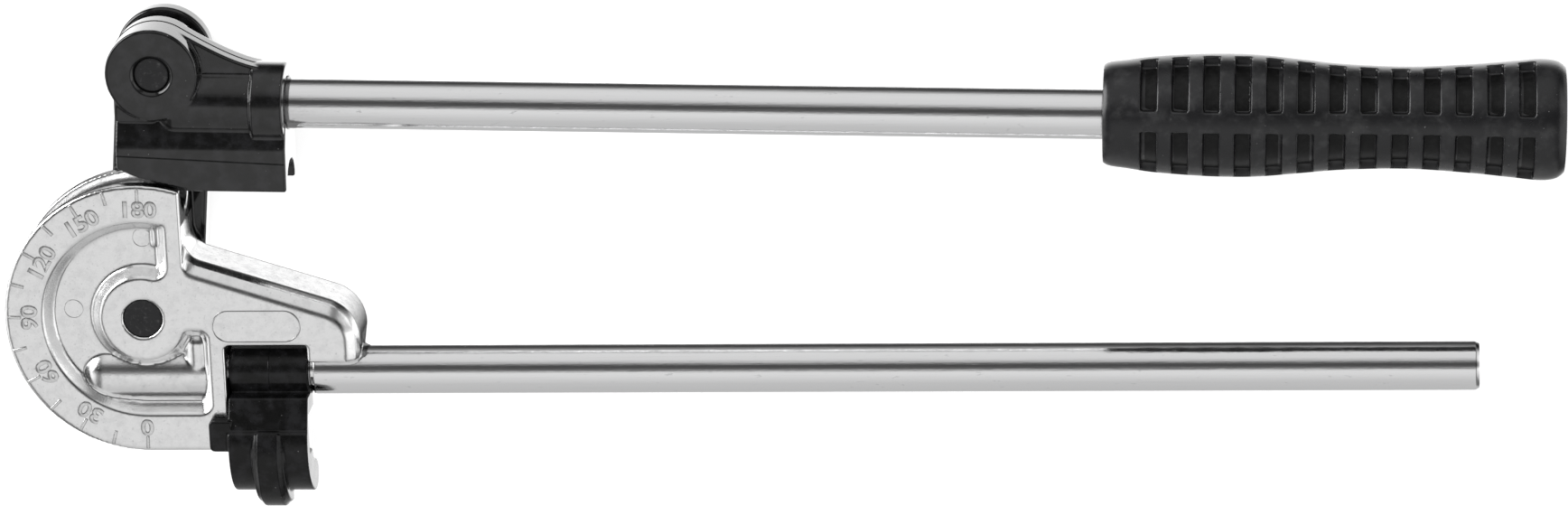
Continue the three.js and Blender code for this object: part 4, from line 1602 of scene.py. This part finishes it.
@dataclass
class HandleBlock:
    """The casting with the hub, the upper handle's socket and the shoe, measured from the hub."""

    start: float = -9.1
    edge: float = 0.5
    hub_radius: float = 10.85
    hub_front: float = 8.2
    hub_back: float = -5.1
    pin_hole: float = 4.1
    countersink: float = 0.8
    socket_radius: float = 8.2
    socket_end: float = 30.4
    socket_start: float = 11.15
    collar_radius: float = 9.6
    collar_length: float = 7.6
    handle_hole: float = 6.1
    spring_pin: Triple = (18.0, 1.6, 6.95)
    web_angle: float = 59.0
    web_bend: Point = (18.4, 1.6)
    web_end: Point = (24.5, 0.9)
    web_steps: int = 16
    web_back: float = -4.2
    web_front: float = 3.4
    skirt_drop: float = 11.5
    skirt_front: float = 7.7
    skirt_right: float = 1.5
    skirt_radius: float = 2.2
    neck_half: float = 5.6
    neck_end: float = 12.0
    shoe_end: float = 30.6
    shoe_half: float = 7.8
    shoe_top_half: float = 5.4
    # The front of the shoe above its seam, as places in Y and Z
    shoe_front: tuple[Point, ...] = (
        (-11.8, 0.5), (-11.8, 5.4), (-11.95, 5.75), (-16.6, 7.4), (-17.3, 7.62), (-18.0, 7.76), (-18.7, 7.8),
    )
    socket_rounding: float = 5.0
    shoe_top: float = -14.2
    shoe_seam: float = -19.8
    shoe_bottom: float = -28.0
    shoe_left: float = -22.8
    knee: Point = (-4.6, -24.8)
    relief: Point = (7.0, -27.3)
    channel_y: float = -27.4
    channel_radius: float = 5.2
    link_clearance: float = 12.2
    parting_z: float = -0.3
    parting_start: float = 215.0
    line_radius: float = 0.13
    seam_radius: float = 0.182
    seam_ends: tuple[Point, Point] = ((-8.9, -19.7), (30.4, -21.2))
    grain: float = 0.3
    passes: int = 4

    def web_top(self) -> list[Point]:
        """The hollow top edge of the web, from the hub to the collar.

        Returns:
            Points in X and Y.
        """
        angle = math.radians(self.web_angle)
        first = Vector((self.hub_radius * math.cos(angle), self.hub_radius * math.sin(angle)))
        bend = Vector(self.web_bend)
        last = Vector(self.web_end)
        shares = even_shares(self.web_steps)
        return [tuple(first * (1 - t) ** 2 + bend * 2 * t * (1 - t) + last * t * t) for t in shares]

    def web(self) -> Piece:
        """The web from the hub down to the collar."""
        outline = [*self.web_top(), (self.web_end[0], -SOCKET_DROP), (0, -SOCKET_DROP)]
        return rounded_edges(prism("web", outline, self.web_back, self.web_front), self.edge)

    def parting_lines(self) -> Piece:
        """Thin dark wires of painted shade along the parting line over the hub and the web, and along the
        seam down the shoe's front.

        Returns:
            The piece.
        """
        round_hub = arc((0, 0), self.hub_radius, self.parting_start, self.web_angle, step=4)
        over = [*round_hub, *self.web_top()[1:]]
        (left, high), (right, low) = self.seam_ends
        along = [(left, high, self.shoe_half), (right, low, self.shoe_half)]
        top = wire("line", [(*point, self.parting_z) for point in over], self.line_radius, closed=False)
        return merged("parting_lines", [top, wire("seam", along, self.seam_radius, closed=False)])

    def socket(self) -> list[Piece]:
        """The socket and the collar at its mouth.

        Returns:
            The pieces to join.
        """
        far = self.socket_end - self.edge
        radius = self.socket_radius
        neck = turned("socket", rounded([(0, 0), (radius, 0, self.socket_rounding), (radius, far), (0, far)]))
        start = self.socket_end - self.collar_length
        collar = turned("collar", pin_profile(self.collar_radius, start, self.socket_end, self.edge))
        return [along_x(neck, -SOCKET_DROP), along_x(collar, -SOCKET_DROP)]

    def under_hub(self) -> list[Piece]:
        """The skirt and the neck under the hub, which carry the shoe.

        Returns:
            The pieces to join.
        """
        skirt = rounded(
            [
                (self.start, 0),
                (self.start, -self.skirt_drop),
                (self.skirt_right, -self.skirt_drop, self.skirt_radius),
                (self.skirt_right + self.skirt_radius, 0),
            ]
        )
        low = self.shoe_top - self.edge
        neck = [
            (-SOCKET_DROP, self.neck_half),
            (-SOCKET_DROP, self.hub_back),
            (low, self.hub_back),
            (low, self.neck_half),
        ]
        return [
            rounded_edges(prism("skirt", skirt, self.hub_back, self.skirt_front), self.edge),
            rounded_edges(drawn_along_x("neck", neck, self.start, self.neck_end), self.edge),
        ]

    def shoe(self) -> Piece:
        """The shoe: a bar that swells to its seam, with the tube channel below.

        Returns:
            The piece.
        """
        wide = self.shoe_half - self.shoe_top_half
        tall = self.shoe_top - self.shoe_seam
        quarter = reversed(arc((0, 0), 1, 0, 90, step=9))
        back = [(self.shoe_seam + tall * x, -self.shoe_top_half - wide * y) for x, y in quarter]
        under = [(self.shoe_bottom, self.shoe_half), (self.shoe_bottom, -self.shoe_half)]
        section = [*self.shoe_front, *under, *back, (self.shoe_top, self.shoe_front[0][1])]
        shoe = rounded_edges(drawn_along_x("shoe", section, self.start, self.shoe_end), self.edge)
        low = self.shoe_bottom - PAST
        clipped = [
            (self.start - PAST, self.shoe_left),
            (self.start, self.shoe_left),
            self.knee,
            self.relief,
            (self.relief[0], low),
            (self.start - PAST, low),
        ]
        cut(shoe, prism("clip", clipped, -self.shoe_half - PAST, self.shoe_half + PAST))
        channel = cylinder_x(self.channel_radius, self.start - PAST, self.shoe_end + PAST, self.channel_y)
        return cut(shoe, channel)

    def pin_bore(self) -> Piece:
        """The hub pin's hole with its countersink.

        Returns:
            The piece to cut.
        """
        inner = self.pin_hole
        outer = inner + self.countersink
        front = self.hub_front
        countersink = [(inner, front - self.countersink), (outer, front), (outer, front + PAST)]
        return turned("pin_bore", on_axis((inner, self.hub_back - PAST), *countersink))

    def casting(self) -> Piece:
        """The whole casting.

        Returns:
            The piece.
        """
        hub = turned("block_casting", pin_profile(self.hub_radius, self.hub_back, self.hub_front, self.edge))
        body = joined(hub, *self.under_hub(), *self.socket(), self.web(), self.shoe())
        cut(
            body,
            turned("clearance", pin_profile(self.link_clearance, -self.collar_radius - PAST, self.hub_back)),
            self.pin_bore(),
            cylinder_x(self.handle_hole, self.socket_start, self.socket_end + PAST, -SOCKET_DROP),
            spring_pin_hole(self.spring_pin, -SOCKET_DROP),
        )
        return cast(body, self.grain, self.passes)

    def build(self) -> None:
        """Models and sets down the block."""
        ON_LEVER.set_down(self.casting(), BLACK, ["handle_block"], SOFT)
        # The parting lines are thin dark wires of painted shade
        ON_LEVER.set_down(self.parting_lines(), PARTING_SHADE)


@dataclass
class Grip:
    """The moulded grip, measured along the upper handle from the grip's inner end."""

    start: float = 219.9
    length: float = 105.4
    radius: float = 14.1
    bore: float = 6.15
    end_wall: float = 3.0
    slot_count: int = 13
    slot_first: float = 10.5
    slot_pitch: float = 7.16
    slot_width: float = 3.7
    slot_depth: float = 2.2
    floor_rise: float = 0.1
    floor_steps: int = 80
    steps: int = 120
    spine_count: int = 4
    spine_width: float = 4.7
    spine_turn: float = 9.0
    profile_shares: tuple[Point, ...] = (
        (0, 0.8), (0.012, 0.845), (0.051, 0.885), (0.098, 0.935), (0.145, 0.965), (0.239, 1),
        (0.334, 0.993), (0.428, 0.927), (0.522, 0.861), (0.663, 0.831), (0.804, 0.888),
        (0.897, 0.953), (0.95, 0.985), (0.985, 0.945), (1, 0.85),
    )
    grain: float = 0.3
    passes: int = 2

    def place(self) -> Matrix:
        """Sets a piece made from the grip's inner end down on the handle."""
        return Matrix.Translation((self.start, -SOCKET_DROP, 0))

    def radius_at(self, share: float) -> float:
        """The grip's radius, along a smooth curve through its profile.

        Args:
            share: How far along the grip, from 0 to 1.

        Returns:
            The radius.
        """
        rows = self.profile_shares
        i = max(1, next((k for k, row in enumerate(rows) if row[0] > share), len(rows) - 1))
        around = [rows[min(max(k, 0), len(rows) - 1)] for k in (i - 2, i - 1, i, i + 1)]
        (x0, y0), (x1, y1), (x2, y2), (x3, y3) = around
        t = (share - x1) / (x2 - x1)
        width = x2 - x1
        slope1 = (y2 - y0) / (x2 - x0) * width
        slope2 = (y3 - y1) / (x3 - x1) * width
        a = 2 * t**3 - 3 * t**2 + 1
        b = t**3 - 2 * t**2 + t
        c = 3 * t**2 - 2 * t**3
        d = t**3 - t**2
        return self.radius * (a * y1 + b * slope1 + c * y2 + d * slope2)

    def slots(self) -> Piece:
        """The rings of slots, left out along the spines.

        Returns:
            The piece to cut.
        """
        rings = []
        half = self.slot_width / 2
        for i in range(self.slot_count):
            middle = self.slot_first + i * self.slot_pitch
            inner = self.radius_at(middle / self.length) - self.slot_depth
            profile = ring_profile(inner, self.radius + 2 * PAST, middle - half, middle + half)
            rings.append(along_x(turned("ring", profile, steps=96)))
        tool = merged("slots", rings)
        half = self.spine_width / 2
        for i in range(self.spine_count):
            bar = block((-PAST, -half, self.bore), (self.length + PAST, half, self.radius + 4 * PAST))
            turn = math.radians(self.spine_turn + 360 * i / self.spine_count)
            cut(tool, moved(bar, Matrix.Rotation(-turn, 4, "X")))
        return tool

    def shaded_slot_floors(self) -> Piece:
        """A dark sleeve at the floors of the slots, which paints the shade between the ribs.

        Returns:
            The piece.
        """
        low = self.slot_first - self.slot_width
        high = self.slot_first + (self.slot_count - 1) * self.slot_pitch + self.slot_width
        places = [low + (high - low) * share for share in even_shares(self.floor_steps)]
        inner = self.bore + PAST
        outside = [(self.radius_at(p / self.length) - self.slot_depth + self.floor_rise, p) for p in places]
        profile = [(inner, low), *outside, (inner, high)]
        return moved(along_x(turned("grip_slot_floors", profile, steps=96)), self.place())

    def moulding(self) -> Piece:
        """The whole grip.

        Returns:
            The piece.
        """
        outside = [(self.radius_at(share), self.length * share) for share in even_shares(self.steps)]
        inside = self.length - self.end_wall
        profile = [(self.bore, 0), *outside, (0, self.length), (0, inside), (self.bore, inside)]
        body = cut(along_x(turned("grip_moulding", profile, steps=144)), self.slots())
        return moved(cast(body, self.grain, self.passes), self.place())

    def build(self) -> None:
        """Models and sets down the grip."""
        ON_LEVER.set_down(self.moulding(), RUBBER, ["grip"], SOFT)
        # The dark sleeve paints the shade on the floors of the slots
        ON_LEVER.set_down(self.shaded_slot_floors(), SLOT_SHADE)


@dataclass
class Pins:
    """The pivot pin and the hub pin."""

    back: float = -14.35
    ring_inset: float = 0.3
    ring_width: float = 1.1
    ring_depth: float = 0.5
    edge: float = 0.4
    back_edge: float = 0.15
    centre_radius: float = 0.5
    centre_depth: float = 0.25
    pivot_radius: float = 4.5
    pivot_front: float = 7.95
    hub_radius: float = 4.0
    hub_front: float = 7.4

    def pin(self, name: str, radius: float, front: float) -> Piece:
        """A pin with a groove for its retaining ring, and a shallow centre mark.

        Args:
            name: Name of the piece.
            radius: Radius of the pin.
            front: Height of its front end.

        Returns:
            The piece.
        """
        low = self.back + self.ring_inset
        high = low + self.ring_width
        profile = [
            (0, self.back),
            (radius - self.back_edge, self.back),
            (radius, self.back + self.back_edge),
            (radius, low),
            (radius - self.ring_depth, low),
            (radius - self.ring_depth, high),
            (radius, high),
            *arc((radius - self.edge, front - self.edge), self.edge, 0, 90, step=15),
            (self.centre_radius, front),
            (0, front - self.centre_depth),
        ]
        return turned(name, profile, steps=96)

    def build(self) -> None:
        """Models and sets down the pins."""
        pivot = self.pin("pivot_pin_turned", self.pivot_radius, self.pivot_front)
        ON_FORMER.set_down(pivot, DARK, ["pivot_pin"])
        hub = self.pin("hub_pin_turned", self.hub_radius, self.hub_front)
        ON_LEVER.set_down(hub, DARK, ["hub_pin"])


@dataclass
class SmallParts:
    """The solids that keep their own shape and only get their finish."""

    spring: tuple[str, ...] = (
        "lower_handle_pin", "upper_handle_pin", "pivot_washer", "hub_washer",
        "pivot_end_washer", "hub_end_washer", "pivot_retaining_ring", "hub_retaining_ring",
    )
    bronze: tuple[str, ...] = ("pivot_bush", "hub_bush")

    def build(self) -> None:
        """Gives each solid its finish."""
        for names, finish in ((self.spring, SPRING), (self.bronze, BRONZE)):
            for name in names:
                node = frame["nodes"][name]
                node.data.materials.clear()
                node.data.materials.append(finish.material())
                LOG.info("%s: %s", name, finish.name)


# Studio


@dataclass
class Studio:
    """The camera, the floor and the light."""

    eye: Triple = (271.5, 453.7, 1350.6)
    right: Triple = (0.9964, -0.0311, -0.0791)
    up: Triple = (0.0049, 0.9503, -0.3114)
    back: Triple = (0.0848, 0.3099, 0.947)
    lens: float = 140.66
    sensor: float = 36.0
    farthest: float = 20.0
    floor_size: float = 8.0
    floor_pale: Triple = (0.85, 0.85, 0.85)
    floor_seen: Triple = (0.35, 0.35, 0.35)
    floor_glow: float = 0.86
    diffuse_light: float = 0.55
    lamp_power: float = 16.0
    lamp_size: float = 1.2
    lamp_place: Triple = (-0.35, 0.6, 1.3)
    lamp_aim: Triple = (0.15, 0, 0)
    backdrop_level: float = 1.18
    backdrop_edge: Point = (0.8, 0.93)
    side_level: float = 0.5
    side_edge: Point = (0.72, 0.92)
    gap_depth: float = 0.7
    gap_start: Point = (0.35, 0.45)
    gap_end: Point = (0.6, 0.72)
    spot_way: Triple = (-0.87, 0.47, 0.16)
    spot_edge: Point = (0.88, 0.95)
    spot_level: float = 5.0
    # Direction round the X axis, from +Z towards +Y, and the level seen there by glossy surfaces
    band_levels: tuple[Point, ...] = (
        (-180, 0.98), (-160, 0.95), (-130, 0.5), (-60, 0.55), (-20, 0.72), (-6, 0.74), (6, 0.14), (18, 0.06),
        (28, 0.08), (40, 0.45), (50, 0.66), (80, 0.72), (97, 0.68), (112, 0.2), (124, 0.05), (138, 0.06),
        (148, 0.5), (158, 0.98), (180, 0.98),
    )

    def camera(self) -> None:
        """The camera, at the photograph's viewing angle."""
        data = bpy.data.cameras.new("camera")
        data.lens = self.lens
        data.sensor_width = self.sensor
        data.clip_end = self.farthest
        camera = added("camera", data)
        place = PIVOT + Vector(self.eye) * MILLIMETRE
        turn = Matrix((self.right, self.up, self.back)).transposed().to_4x4()
        camera.matrix_world = Matrix.Translation(place) @ turn
        bpy.context.scene.camera = camera

    def floor(self) -> None:
        """A white floor that keeps the shadow."""
        bpy.ops.object.select_all(action="DESELECT")
        bpy.ops.mesh.primitive_plane_add(size=self.floor_size)
        floor = bpy.context.active_object
        floor.name = "floor"
        made = bpy.data.materials.new("floor_white")
        graph = Graph(made)
        plain, seen = (
            graph.node("ShaderNodeBsdfDiffuse", {}, {"Color": (*colour, 1.0)})
            for colour in (self.floor_pale, self.floor_seen)
        )
        glow = graph.node("ShaderNodeEmission", {}, {"Color": WHITE, "Strength": self.floor_glow})
        bright = graph.node("ShaderNodeAddShader", {}, {0: seen, 1: glow})
        graph.finish(graph.blend(graph.ray("Camera"), plain, bright))
        floor.data.materials.append(made)
        floor.visible_glossy = False

    def world(self) -> None:
        """White to the camera, and soft bands of light to what is glossy."""
        world = bpy.data.worlds.new("studio")
        bpy.context.scene.world = world
        graph = Graph(world)
        way = graph.node("ShaderNodeTexCoord", {}, {}, "Generated")
        x, y, z = (graph.axis(way, name) for name in "XYZ")
        turn = z.math("ARCTAN2", y, z) / (2 * math.pi) + 0.5
        stops = [(angle / 360 + 0.5, level) for angle, level in self.band_levels]
        bands = graph.node("ShaderNodeValToRGB", {"stops": stops}, {0: turn})
        behind = (0 - z).between(*self.backdrop_edge) * self.backdrop_level
        out = x.math("ABSOLUTE", x)
        gap = 1 - self.gap_depth * out.between(*self.gap_start) * (1 - out.between(*self.gap_end))
        sides = out.between(*self.side_edge) * self.side_level
        aim = graph.measure("DOT_PRODUCT", way, self.spot_way)
        level = bands * gap + behind + sides + aim.between(*self.spot_edge) * self.spot_level
        plain, white, banded = (
            graph.node("ShaderNodeBackground", {}, {"Color": WHITE, "Strength": strength})
            for strength in (self.diffuse_light, 1.0, level)
        )
        mirrored = (graph.ray("Glossy") + graph.ray("Transmission")).clamped()
        shader = graph.blend(graph.ray("Camera"), graph.blend(mirrored, plain, banded), white)
        graph.node("ShaderNodeOutputWorld", {}, {"Surface": shader})

    def lamp(self) -> None:
        """A wide soft lamp above, to the left and towards the camera."""
        data = bpy.data.lights.new("soft_lamp", "AREA")
        data.shape = "DISK"
        data.size = self.lamp_size
        data.energy = self.lamp_power
        lamp = added("soft_lamp", data)
        lamp.location = self.lamp_place
        aim = Vector(self.lamp_aim) - lamp.location
        lamp.rotation_euler = aim.to_track_quat("-Z", "Y").to_euler()
        lamp.visible_glossy = False

    def build(self) -> None:
        """Sets up the studio."""
        self.camera()
        self.floor()
        self.world()
        self.lamp()
        bpy.context.scene.view_settings.view_transform = "Standard"


def main() -> None:
    """Builds the studio and then each sub-assembly in order."""
    logging.basicConfig(level=logging.INFO, format="%(message)s")
    Studio().build()
    for assembly in (Former(), Handles(), Latch(), Link(), HandleBlock(), Grip(), Pins(), SmallParts()):
        LOG.info("Building %s", type(assembly).__name__)
        assembly.build()


if __name__ == "__main__":
    main()
